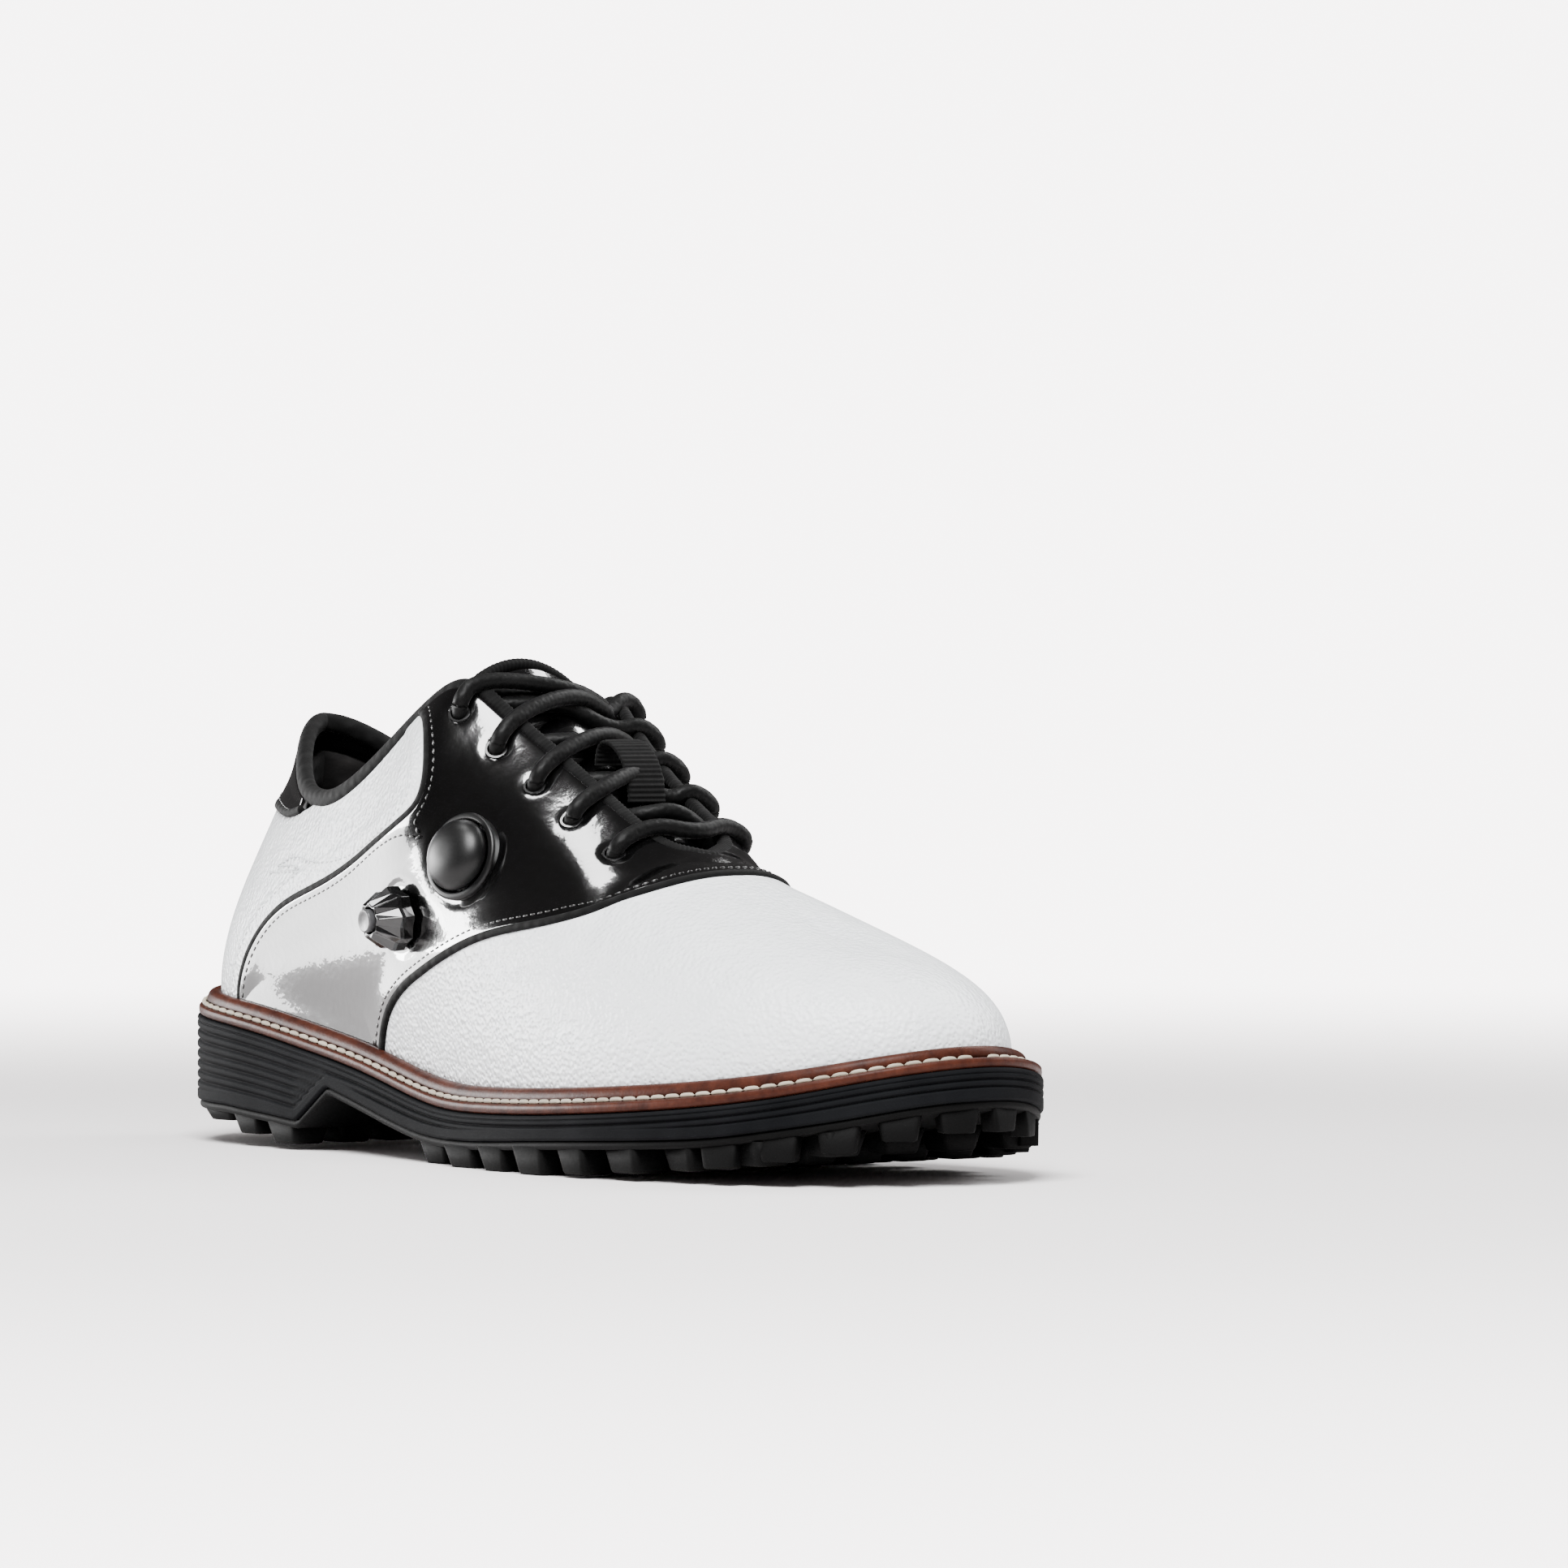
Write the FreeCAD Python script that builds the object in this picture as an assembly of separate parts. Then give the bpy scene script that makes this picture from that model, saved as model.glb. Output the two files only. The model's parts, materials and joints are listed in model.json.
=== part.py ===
import FreeCAD, Part
import math
import os

# A right-foot golf shoe of the saddle pattern, in millimetres.
# +X points to the toe, +Y to the inner (medial) side, +Z up. The ground is z = 0.
# The upper is one reference surface, the outside of the leather. A point on it is
# surface(side, u, v): side is -1 outer (lateral) or +1 inner (medial), u runs from the
# toe centre (0) to the heel centre (1), v from the welt (0) to the top line (1).

Vec = FreeCAD.Vector

# ---- driving dimensions -------------------------------------------------------------
SOLE_LENGTH = 300.0
HALF = SOLE_LENGTH / 2

LEATHER = (0.0, 1.4)            # depth below the reference surface: outside, inside
STAY = (2.0, 2.6)               # facing stay under the eyelets
STIFFENER = (1.7, 2.9)          # toe puff, heel counter
PADDING = (1.7, 3.3)            # air bladder, collar foam
LINING = (3.6, 4.4)
SEAM_GAP = 0.0006               # half the gap between two panels, in u

WELT_THICK = 3.0
WELT_GAP = 0.16                 # the welt's clearance from the midsole
WELT_INSET = 0.4
WELT_WIDTH = 4.2                # how far the welt reaches in past the upper's edge
BEAD_TOP = 6.6
STITCH_PITCH = 5.2
STITCH_LENGTH = 3.6
STITCH_RADIUS = 0.55
STITCH_INSET = 4.6              # out from the upper's edge
STITCH_GAP = 0.18

PLATE_THICK = 2.1
PLATE_INSET = 1.0
LUG_TAPER = 1.3

LACE_RADIUS = 2.1
LACE_CLEARANCE = 0.06
LACE_LOW = 2.75                 # height of the lower cord of a cross above the tongue
LACE_HIGH = 7.0
TUCKED_AT = (.594, (.600, .92))   # where the last ends go under the facing, and where they stop
TUCKED_RISE = 1.5               # the last upper cord lies over the tongue's top, so it is higher
LACE_DIP = 1.2                  # how far an upper cord comes down beside its crossing
EYELET_BORE = 2.35
EYELET_RADIUS = 2.9
EYELET_HOLE = 3.05
EYELETS = [(0.588, 0.896), (0.550, 0.878), (0.510, 0.858), (0.468, 0.839), (0.418, 0.823)]

BULB_AT = (0.532, 0.547)        # (u, v) on the outer side
BULB_HOLE = 11.2
SKIRT_OUTER = 11.0
SKIRT_BORE = 9.5
CAP_RADIUS = 9.1
CAP_RIM = 1.0
CAP_HEIGHT = 7.4
CAP_WALL = 1.3

VALVE_AT = (0.598, 0.334)
KNOB_BASE = 8.0
KNOB_TIP = 6.0
KNOB_HEIGHT = 10.6
KNOB_FACETS = 10
STEM_RADIUS = 4.5
STEM_HOLE = 4.8
BUTTON_RADIUS = 3.0
BUTTON_BORE = 3.3
BUTTON_PROUD = 1.7

# ---- outlines and tables of the last --------------------------------------------------
# sole edge in plan, toe tip first
LATERAL = [(HALF, 8), (145, -10), (132, -26.5), (110, -40.5), (84, -48.5), (56, -51.5), (26, -49.2),
           (-6, -43.5), (-38, -38.7), (-70, -36.8), (-100, -36.3), (-124, -32), (-141, -20), (-HALF, 0)]
MEDIAL = [(HALF, 8), (144, 27), (128, 42.5), (104, 50.5), (78, 51), (50, 46), (20, 37), (-10, 31.2),
          (-40, 31), (-72, 34.4), (-102, 35.8), (-126, 31.5), (-142, 20), (-HALF, 0)]
# height of the midsole's top edge, and the underside, along x
TOP_X = [-150, -124, -94, -72, -44, -24, -3, 20, 45, 75, 100, 126, 144, 150]
TOP_Z = [34.5, 32.6, 29.5, 26, 21.2, 17.2, 14.2, 13.8, 14.6, 16.3, 18.4, 22.4, 27, 28.6]
HEEL_UNDER = [(-160, 9.2), (-109, 8.5), (-87, 6.8), (-75, 5.7), (-61, 15), (-35, 9)]
FORE_UNDER_X = [-35, -14, 0, 25, 46, 88, 107, 122, 137, 146, 150, 160]
FORE_UNDER_Z = [9, 5.4, 4.6, 5.2, 6.3, 8.2, 9.6, 11.9, 15, 17.6, 18.7, 21.5]
LUG_X = [-150, -122, -102, -84, -68, -20, 10, 46, 77, 103, 117, 131, 145]
LUG_Z = [8.6, 6.6, 3.5, 1.6, 0, 0, 0, 0, 1.9, 3.7, 5.7, 8.4, 13]

# the upper's stations: top line position, and how each rib leaves the welt and arrives
STATION = [0, .08, .16, .24, .30, .34, .37, .39, .42, .47, .52, .57, .60, .63, .68, .73, .80, .87, .93, 1.0]
RIM_X = [98, 96, 88.5, 76, 65.5, 57.5, 50, 45.5, 38, 22, 5, -11, -20, -30, -47, -63, -79, -94, -107, -115]
RIM_Y = {-1: [2.5, 2.5, 2.5, 2.5, 2.5, 2.5, 2.5, -2.5, -7.5, -9.5, -12.5, -18, -21.5, -24.5, -28.5, -29.2,
              -26.5, -20.5, -11, 0],
         1: [2.5, 2.5, 2.5, 2.5, 2.5, 2.5, 2.5, 8, 13.5, 16, 18.5, 22, 24.5, 27, 29, 29.2, 26.5, 20.5, 11, 0]}
RIM_Z = {-1: [58.5, 59, 62, 66.8, 71, 74.2, 77.4, 79, 83, 92.5, 103.5, 115.5, 121, 117, 103.5, 94.5, 92.5,
              97, 107, 112],
         1: [58.5, 59, 62, 66.8, 71, 74.2, 77.4, 79, 83, 91.5, 101.5, 112, 116.5, 113.5, 103, 96, 95, 99.5,
             108, 112]}
RISE = [14, 12, 8, 4, 2, 1, 0, 6, 12, 20, 28, 36, 42, 52, 68, 75, 76, 75, 73, 72]
TURN = [90, 62, 38, 20, 10, 5, 2, 0, 0, 0, 0, 0, 0, 0, 0, 0, 10, 30, 60, 90]
LEAN = [4, 5, 7, 8, 8, 8, 8, 8, 8, 8, 8, 8, 8, 8, 8, 8, 8, 6, 5, 5]
PULL_LOW = [.62, .62, .62, .62, .62, .62, .60, .60, .58, .55, .5, .45, .42, .4, .36, .36, .36, .36, .36, .36]
PULL_HIGH = [.60, .60, .60, .60, .60, .60, .60, .55, .5, .48, .45, .42, .4, .38, .36, .36, .36, .36, .36, .36]
THROAT = 0.37                   # u where the lace opening ends

# panel seams as (u, v) at equal steps of t, welt first
SEAM_T = [0, .15, .3, .45, .6, .72, .86, 1]
VAMP_SEAM = [(.640, 0), (.618, .135), (.565, .237), (.504, .345), (.44, .45), (.395, .54), (.352, .69),
             (.328, 1)]
QUARTER_SEAM = [(.838, 0), (.833, .2), (.812, .42), (.76, .58), (.675, .622), (.612, .572), (.592, .70),
                (.638, 1)]


# ---- curves and surfaces ----------------------------------------------------------------
def spline(xs, ys, ends=(None, None)):
    """A cubic spline through points. An end slope of None leaves that end free."""
    n = len(xs)
    h = [xs[i + 1] - xs[i] for i in range(n - 1)]
    slope = [(ys[i + 1] - ys[i]) / h[i] for i in range(n - 1)]
    low = [0.0] * n
    mid = [1.0] * n
    high = [0.0] * n
    right = [0.0] * n
    for i in range(1, n - 1):
        low[i], mid[i], high[i] = h[i - 1], 2 * (h[i - 1] + h[i]), h[i]
        right[i] = 6 * (slope[i] - slope[i - 1])
    if ends[0] is not None:
        mid[0], high[0], right[0] = 2 * h[0], h[0], 6 * (slope[0] - ends[0])
    if ends[1] is not None:
        low[-1], mid[-1], right[-1] = h[-1], 2 * h[-1], 6 * (ends[1] - slope[-1])
    for i in range(1, n):
        w = low[i] / mid[i - 1]
        mid[i] -= w * high[i - 1]
        right[i] -= w * right[i - 1]
    bend = [0.0] * n
    bend[-1] = right[-1] / mid[-1]
    for i in range(n - 2, -1, -1):
        bend[i] = (right[i] - high[i] * bend[i + 1]) / mid[i]

    def value(x):
        x = min(max(x, xs[0]), xs[-1])
        i = 0
        while i < n - 2 and x > xs[i + 1]:
            i += 1
        p = (xs[i + 1] - x) / h[i]
        q = 1 - p
        curve = (p ** 3 - p) * bend[i] + (q ** 3 - q) * bend[i + 1]
        return p * ys[i] + q * ys[i + 1] + curve * h[i] ** 2 / 6
    return value


def ramp(xs, ys):
    """Straight runs between points."""
    def value(x):
        if x <= xs[0]:
            return ys[0]
        for i in range(len(xs) - 1):
            if x <= xs[i + 1]:
                return ys[i] + (ys[i + 1] - ys[i]) * (x - xs[i]) / (xs[i + 1] - xs[i])
        return ys[-1]
    return value


def outline(points, sign):
    t = [0.0]
    for p, q in zip(points, points[1:]):
        t.append(t[-1] + math.dist(p, q))
    length = t[-1]
    t = [k / length for k in t]
    fx = spline(t, [p[0] for p in points], (0, 0))
    fy = spline(t, [p[1] for p in points], (sign * length, -sign * length))
    return fx, fy


EDGE = {-1: outline(LATERAL, -1), 1: outline(MEDIAL, 1)}
top_z = spline(TOP_X, TOP_Z)
fore_under = spline(FORE_UNDER_X, FORE_UNDER_Z)
heel_under = ramp([p[0] for p in HEEL_UNDER], [p[1] for p in HEEL_UNDER])
lug_bottom = ramp(LUG_X, LUG_Z)
upper_inset = spline([0, .15, .4, .6, .8, 1], [8.5, 7.5, 6.5, 6, 6.3, 6.5])
rim_x = spline(STATION, RIM_X, (0, None))
SHARED = 6                      # stations up to this one lie on the ridge, where both sides meet
rim_y = {s: spline(STATION[SHARED:], RIM_Y[s][SHARED:], (0, None)) for s in RIM_Y}
rim_z_side = {s: spline(STATION, RIM_Z[s], (0, 0)) for s in RIM_Z}
rise = spline(STATION, RISE)
turn = spline(STATION, TURN)
lean = spline(STATION, LEAN)
pull_low = spline(STATION, PULL_LOW)
pull_high = spline(STATION, PULL_HIGH)
# how far v is bent down in mid-rib, so that lines of equal w run level
level = spline([0, .33, .42, .5, .56, .62, .66, .70, .76, 1],
               [0, 0, .25, .42, .5, .5, .32, .15, 0, 0], (0, 0))
# where the leather stops below the top line, to leave room for the binding
leather_top = ramp([THROAT, .39, .58, .61, .64, .77, .9, 1], [1, .956, .955, .942, .935, .912, .93, .935])
# where the quarter stops below the leather's top, to leave room for the heel tab
quarter_top = ramp([.80, .83, .87, .93, 1], [1, .95, .87, .77, .72])


def under_z(x):
    return heel_under(x) if x < FORE_UNDER_X[0] else fore_under(x)


def edge(side, u):
    fx, fy = EDGE[side]
    return fx(u), fy(u)


def edge_normal(side, u):
    """Outward normal of the sole edge, in plan."""
    if u <= 0 or u >= 1:
        return (1, 0) if u <= 0 else (-1, 0)
    step = 1e-3
    a, b = edge(side, max(u - step, 0)), edge(side, min(u + step, 1))
    dx, dy = b[0] - a[0], b[1] - a[1]
    length = math.hypot(dx, dy)
    return side * dy / length, -side * dx / length


def on_sole(side, u, inset, rise_z):
    """A point set in from the sole edge, at a height above the midsole's top."""
    x, y = edge(side, u)
    n = edge_normal(side, u)
    x, y = x - n[0] * inset, y - n[1] * inset
    return Vec(x, y, top_z(x) + rise_z)


def rim_z(side, u):
    return rim_z_side[-1 if u <= THROAT + 1e-6 else side](u)


def rib(side, u):
    foot = on_sole(side, u, upper_inset(u), WELT_THICK + 0.2)
    rim = Vec(rim_x(u), rim_y[side](u), rim_z(side, u))
    n = edge_normal(side, u)
    tilt = math.radians(lean(u))
    up = math.radians(rise(u))
    yaw = math.radians(turn(u))
    flat = math.hypot(foot.x - rim.x, foot.y - rim.y)
    high = rim.z - foot.z
    back = -1 if u < .7 else 1
    arrive = Vec(back * math.sin(yaw) * math.cos(up), -side * math.cos(yaw) * math.cos(up), math.sin(up))
    leave = Vec(n[0] * math.sin(tilt), n[1] * math.sin(tilt), math.cos(tilt))
    near_foot = foot + leave * (pull_low(u) * high)
    near_rim = rim - arrive * (pull_high(u) * (flat * math.cos(up) + high * math.sin(up)))
    return foot, near_foot, near_rim, rim


def surface(side, u, v):
    a, b, c, d = rib(side, u)
    w = 1 - v
    return a * w ** 3 + b * (3 * w * w * v) + c * (3 * w * v * v) + d * v ** 3


def one_side_normal(side, u, v):
    step = 2e-3
    du = surface(side, min(u + step, 1), v) - surface(side, max(u - step, 0), v)
    dv = surface(side, u, min(v + step, 1)) - surface(side, u, max(v - step, 0))
    n = du.cross(dv) * side
    return n / n.Length


def normal(side, u, v):
    """Outward normal. Where both sides meet, it is shared by them."""
    u = max(u, 1e-3)
    shared = u <= 1e-3 or u >= 1 or (v >= 1 - 1e-6 and u <= THROAT + 1e-6)
    n = one_side_normal(side, u, v)
    if shared:
        n = n + one_side_normal(-side, u, v)
        if u <= 1e-3 or u >= 1:
            n.y = 0
        n = n / n.Length
    return n


def skin(side, u, v, depth):
    return surface(side, u, v) - normal(side, u, v) * depth


def level_to_v(u, w):
    return w - level(u) * w * (1 - w)


def v_to_level(u, v):
    k = level(u)
    if k < 1e-6:
        return v
    return (math.sqrt((1 - k) ** 2 + 4 * k * v) - (1 - k)) / (2 * k)


def seam(points):
    fu = spline(SEAM_T, [p[0] for p in points])
    fw = spline(SEAM_T, [v_to_level(*p) for p in points])
    return lambda t: (fu(t), fw(t))


vamp_seam = seam(VAMP_SEAM)
quarter_seam = seam(QUARTER_SEAM)


def steps(n, start=0.0, end=1.0):
    return [start + (end - start) * i / (n - 1) for i in range(n)]


def between(a, b, s):
    return tuple(p + (q - p) * s for p, q in zip(a, b))


# ---- solids from grids of poles -----------------------------------------------------------
def knots(count, degree):
    inner = count - degree - 1
    return [degree + 1] + [1] * inner + [degree + 1], [float(k) for k in range(inner + 2)]


def pole_face(grid):
    """A smooth face whose edges depend only on its outer poles, so that neighbours meet exactly."""
    rows, columns = len(grid), len(grid[0])
    du, dv = min(3, rows - 1), min(3, columns - 1)
    um, uk = knots(rows, du)
    vm, vk = knots(columns, dv)
    face = Part.BSplineSurface()
    face.buildFromPolesMultsKnots(grid, um, vm, uk, vk, False, False, du, dv)
    return face.toShape()


def close_solid(faces):
    shell = Part.Compound(faces)
    shell.sewShape(1e-4)
    solid = Part.Solid(shell.Shells[0])
    if solid.Volume < 0:
        solid.reverse()
    return solid


def sheet_faces(outer, inner, free):
    """Faces of a sheet between two grids, with walls on its free sides."""
    faces = [pole_face(outer), pole_face(inner)]
    if "s0" in free:
        faces.append(pole_face([outer[0], inner[0]]))
    if "s1" in free:
        faces.append(pole_face([outer[-1], inner[-1]]))
    if "t0" in free:
        faces.append(pole_face([[row[0] for row in outer], [row[0] for row in inner]]))
    if "t1" in free:
        faces.append(pole_face([[row[-1] for row in outer], [row[-1] for row in inner]]))
    return faces


def layer_faces(side, place, ss, ts, depths, free):
    """One patch of a layer of the upper. place(s, t) gives its (u, v)."""
    grids = []
    for depth in depths:
        grids.append([[skin(side, *place(s, t), depth) for t in ts] for s in ss])
    return sheet_faces(grids[0], grids[1], free)


def tube_solid(rings):
    """A closed roll through planar rings of points."""
    rings = [ring + [ring[0]] for ring in rings]
    faces = [pole_face(rings)]
    for ring in (rings[0], rings[-1]):
        mults, places = knots(len(ring), 3)
        curve = Part.BSplineCurve()
        curve.buildFromPolesMultsKnots(ring, mults, places, False, 3)
        faces.append(Part.Face(Part.Wire([curve.toShape()])))
    return close_solid(faces)


def around(section, n=30):
    """A closed band round the whole sole, from a section given as a list of corners."""
    faces = []
    for side in (-1, 1):
        rows = [section(side, u) for u in steps(n)]
        corners = len(rows[0])
        for k in range(corners):
            here = [row[k] for row in rows]
            there = [row[(k + 1) % corners] for row in rows]
            faces.append(pole_face([here, there]))
    return close_solid(faces)


def frame_at(side, uv):
    """Centre and outward axis of something mounted on the upper."""
    return surface(side, *uv), normal(side, *uv)


def placed(shape, centre, axis):
    """Move a shape made along +Z at the origin to a centre and axis."""
    place = FreeCAD.Placement(centre, FreeCAD.Rotation(Vec(0, 0, 1), axis))
    shape.Placement = place.multiply(shape.Placement)
    return shape


def turned(profile):
    """A solid of revolution about Z from (r, z) corners."""
    wire = Part.makePolygon([Vec(r, 0, z) for r, z in profile + [profile[0]]])
    return Part.Face(wire).revolve(Vec(0, 0, 0), Vec(0, 0, 1), 360)


# ---- sole ------------------------------------------------------------------------------
def plan_prism(inset, n=26):
    """Everything inside the sole edge, set in, as a tall prism."""
    points = []
    for u in steps(n)[:-1]:
        points.append(on_sole(-1, u, inset, 0))
    for u in reversed(steps(n)[1:]):
        points.append(on_sole(1, u, inset, 0))
    for p in points:
        p.z = -5
    curve = Part.BSplineCurve()
    curve.interpolate(points, PeriodicFlag=True)
    return Part.Face(Part.Wire([curve.toShape()])).extrude(Vec(0, 0, 60))


def smooth_edge(function, start, end, offset, n=30):
    curve = Part.BSplineCurve()
    curve.interpolate([Vec(x, -70, function(x) + offset) for x in steps(n, start, end)])
    return curve.toShape()


def slab_between(bottom_edges, top_edges):
    """A wide slab whose side view lies between two chains of edges."""
    first = bottom_edges[0].Vertexes[0].Point
    last = bottom_edges[-1].Vertexes[-1].Point
    up_first = top_edges[0].Vertexes[0].Point
    up_last = top_edges[-1].Vertexes[-1].Point
    ends = [Part.LineSegment(last, up_last).toShape(), Part.LineSegment(up_first, first).toShape()]
    wire = Part.Wire(Part.__sortEdges__(bottom_edges + top_edges + ends))
    return Part.Face(wire).extrude(Vec(0, 140, 0))


def under_edges(offset):
    corners = [Vec(x, -70, z + offset) for x, z in HEEL_UNDER]
    lines = [Part.LineSegment(p, q).toShape() for p, q in zip(corners, corners[1:])]
    return lines + [smooth_edge(fore_under, FORE_UNDER_X[0], 160, offset)]


def top_edge(offset, start=-160, end=160):
    return [smooth_edge(top_z, start, end, offset)]


def make_midsole():
    return plan_prism(0).common(slab_between(under_edges(PLATE_THICK + 0.1), top_edge(0)))


def half_width(side, x):
    """Distance of the sole edge from y = 0 at a station x."""
    low, high = 0.0, 1.0
    for _ in range(40):
        middle = (low + high) / 2
        if edge(side, middle)[0] > x:
            low = middle
        else:
            high = middle
    return edge(side, low)[1]


def lug(x, y, length, width):
    """One tread block, wider at the plate than at the ground."""
    bottom = lug_bottom(x)
    top = under_z(x) + 1.0
    rings = []
    for z, grow in ((bottom, 0), (top, LUG_TAPER)):
        a, b = length / 2 + grow, width / 2 + grow
        corners = [Vec(x - a, y - b, z), Vec(x + a, y - b, z), Vec(x + a, y + b, z), Vec(x - a, y + b, z)]
        rings.append(Part.makePolygon(corners + [corners[0]]))
    return Part.makeLoft(rings, True, True)


def lug_rows():
    """Places of the tread blocks: rows across the heel and the forefoot."""
    rows = [-136, -118, -100, -83, -9, 9, 26, 43, 60, 77, 94, 111, 126]
    margin = 8.5
    for row, x in enumerate(rows):
        low = half_width(-1, x) + margin
        high = half_width(1, x) - margin
        count = max(2, round((high - low) / 15.5) + 1)
        for y in steps(count, low, high):
            yield x, y, 10.0 if row % 2 else 8.5, 9.0


def make_outsole():
    plate = plan_prism(PLATE_INSET).common(slab_between(under_edges(0), under_edges(PLATE_THICK)))
    return plate.fuse([lug(*place) for place in lug_rows()]).removeSplitter()


def make_welt():
    def section(side, u):
        deep = upper_inset(u) + WELT_WIDTH
        return [on_sole(side, u, WELT_INSET, WELT_GAP), on_sole(side, u, deep, WELT_GAP),
                on_sole(side, u, deep, WELT_THICK), on_sole(side, u, WELT_INSET, WELT_THICK)]
    return around(section)


def make_storm_welt():
    def section(side, u):
        k = upper_inset(u)
        low = WELT_THICK + 0.1
        return [on_sole(side, u, k - 3.6, low), on_sole(side, u, k - 0.7, low),
                on_sole(side, u, k - 1.5, BEAD_TOP), on_sole(side, u, k - 3.0, BEAD_TOP - 0.6)]
    return around(section)


def make_welt_stitches():
    """The lock-stitch in the groove between the two tiers of the welt."""
    stitches = []
    for side in (-1, 1):
        length = sum(math.dist(edge(side, a), edge(side, b)) for a, b in zip(steps(60), steps(60)[1:]))
        count = int(length / STITCH_PITCH)
        for k in range(count):
            u = (k + 0.5) / count
            half = STITCH_LENGTH / 2 / length
            height = WELT_THICK + STITCH_GAP + STITCH_RADIUS
            a, b = (on_sole(side, q, upper_inset(u) - STITCH_INSET, height) for q in (u - half, u + half))
            stitches.append(Part.makeCylinder(STITCH_RADIUS, (b - a).Length, a, b - a))
    return Part.makeCompound(stitches)


def inner_plate(inset, low, high, start=-160, end=160):
    return plan_prism(inset).common(slab_between(top_edge(low, start, end), top_edge(high, start, end)))


def make_shank():
    strip = slab_between(top_edge(0.15, -84, -6), top_edge(1.6, -84, -6))
    return strip.common(Part.makeBox(200, 14, 60, Vec(-120, -8, 0)))


# ---- upper -----------------------------------------------------------------------------
def vamp_place(limit):
    """(s, t) to (u, v) from the toe centre to a front seam."""
    def place(s, t):
        u, w = limit(t)
        u = (u - SEAM_GAP) * s
        return u, level_to_v(u, t + (w - t) * s)
    return place


def trimmed(u, v):
    """Stop short of the top line, where the binding goes."""
    return v * (1 - (1 - leather_top(u)) * v ** 6)


def saddle_place(s, t):
    front, rear = vamp_seam(t), quarter_seam(t)
    u, w = between((front[0] + SEAM_GAP, front[1]), (rear[0] - SEAM_GAP, rear[1]), s)
    return u, trimmed(u, level_to_v(u, w))


def quarter_place(s, t):
    front = quarter_seam(t)
    u, w = between((front[0] + SEAM_GAP, front[1]), (1, t ** .7), s)
    return u, trimmed(u, level_to_v(u, w)) * quarter_top(u)


def tab_place(s, t):
    u = .835 + (1 - .835) * s
    low = quarter_top(u) * leather_top(u) + 0.006
    return u, low + (leather_top(u) - low) * t


def make_vamp(depths=LEATHER):
    place = vamp_place(vamp_seam)
    faces = []
    for side in (-1, 1):
        faces += layer_faces(side, place, steps(26), steps(24), depths, "s1 t0")
    return close_solid(faces)


def make_saddle():
    """The saddle goes over the instep in one piece below the lace opening."""
    start, end = VAMP_SEAM[-1][0] + SEAM_GAP, QUARTER_SEAM[-1][0] - SEAM_GAP
    split = (THROAT - start) / (end - start)
    faces = []
    for side in (-1, 1):
        faces += layer_faces(side, saddle_place, steps(6, 0, split), steps(24), LEATHER, "s0 t0")
        faces += layer_faces(side, saddle_place, steps(18, split, 1), steps(24), LEATHER, "s1 t0 t1")
    return close_solid(faces)


def make_quarter(side):
    return close_solid(layer_faces(side, quarter_place, steps(18), steps(24), LEATHER, "s0 s1 t0 t1"))


def band(us, low, high, depths, n=10):
    """A band round the heel or the toe, both sides in one piece, joined at u = 0 or u = 1."""
    joined = "s0" if us[0] == 0 else "s1"
    free = "s0 s1 t0 t1".replace(joined, "").split()
    faces = []
    for side in (-1, 1):
        place = lambda s, t: (s, low(s) + (high(s) - low(s)) * t)
        faces += layer_faces(side, place, us, steps(n), depths, free)
    return close_solid(faces)


def make_heel_tab():
    faces = []
    for side in (-1, 1):
        faces += layer_faces(side, tab_place, steps(12), steps(8), LEATHER, "s0 t0 t1")
    return close_solid(faces)


def make_facing_stay(side):
    def place(s, t):
        u = .395 + (.598 - .395) * s
        return u, .79 + (leather_top(u) - .79) * t
    return close_solid(layer_faces(side, place, steps(14), steps(6), STAY, "s0 s1 t0 t1"))


def make_vamp_lining():
    faces = []
    for side in (-1, 1):
        place = lambda s, t: (THROAT * s, t)
        faces += layer_faces(side, place, steps(20), steps(18), LINING, "s1 t0")
    return close_solid(faces)


def roll(side, u, back, wide, tall, n=8):
    """A ring round the top line, set back down the rib, for a binding."""
    out = normal(side, u, min(.96, leather_top(u)))
    a, b, c, d = rib(side, u)
    up = (d - c) / (d - c).Length
    if u >= 1:
        up = Vec(up.x, 0, up.z)
    out = (out - up * out.dot(up))
    out = out / out.Length
    centre = d - up * back - out * (wide - 0.9)
    ring = []
    for k in range(n):
        turn_by = 2 * math.pi * k / n
        ring.append(centre + out * (wide * math.cos(turn_by)) + up * (tall * math.sin(turn_by)))
    return ring


def make_collar_binding():
    us = steps(22, .606, 1)
    rings = [roll(-1, u, 2.4, 2.9, 2.9) for u in us]
    rings += [roll(1, u, 2.4, 2.9, 2.9) for u in reversed(us[:-1])]
    return tube_solid(rings)


def make_facing_binding(side):
    return tube_solid([roll(side, u, 0.9, 1.5, 1.3) for u in steps(16, .40, .592)])


# ---- tongue ------------------------------------------------------------------------------
TONGUE_X = [-26, -23.5, -20, -17, -11, 5, 22, 40, 50, 60]
TONGUE_Z = [127.8, 125.8, 121.3, 117.9, 113.3, 100.7, 89.2, 77.2, 70.3, 64]
tongue_z = spline(TONGUE_X, TONGUE_Z)
tongue_half = ramp([-26, -15, 40, 60], [19.5, 20, 16.5, 13])
tongue_y = ramp([-26, -11, 22, 60], [0.5, 2, 3.3, 2.5])
tongue_tilt = ramp([-26, -11, 22, 60], [-.10, -.09, -.04, 0])
tongue_crown = ramp([-26, -20, -14, 22, 60], [.021, .034, .037, .037, .037])


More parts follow.
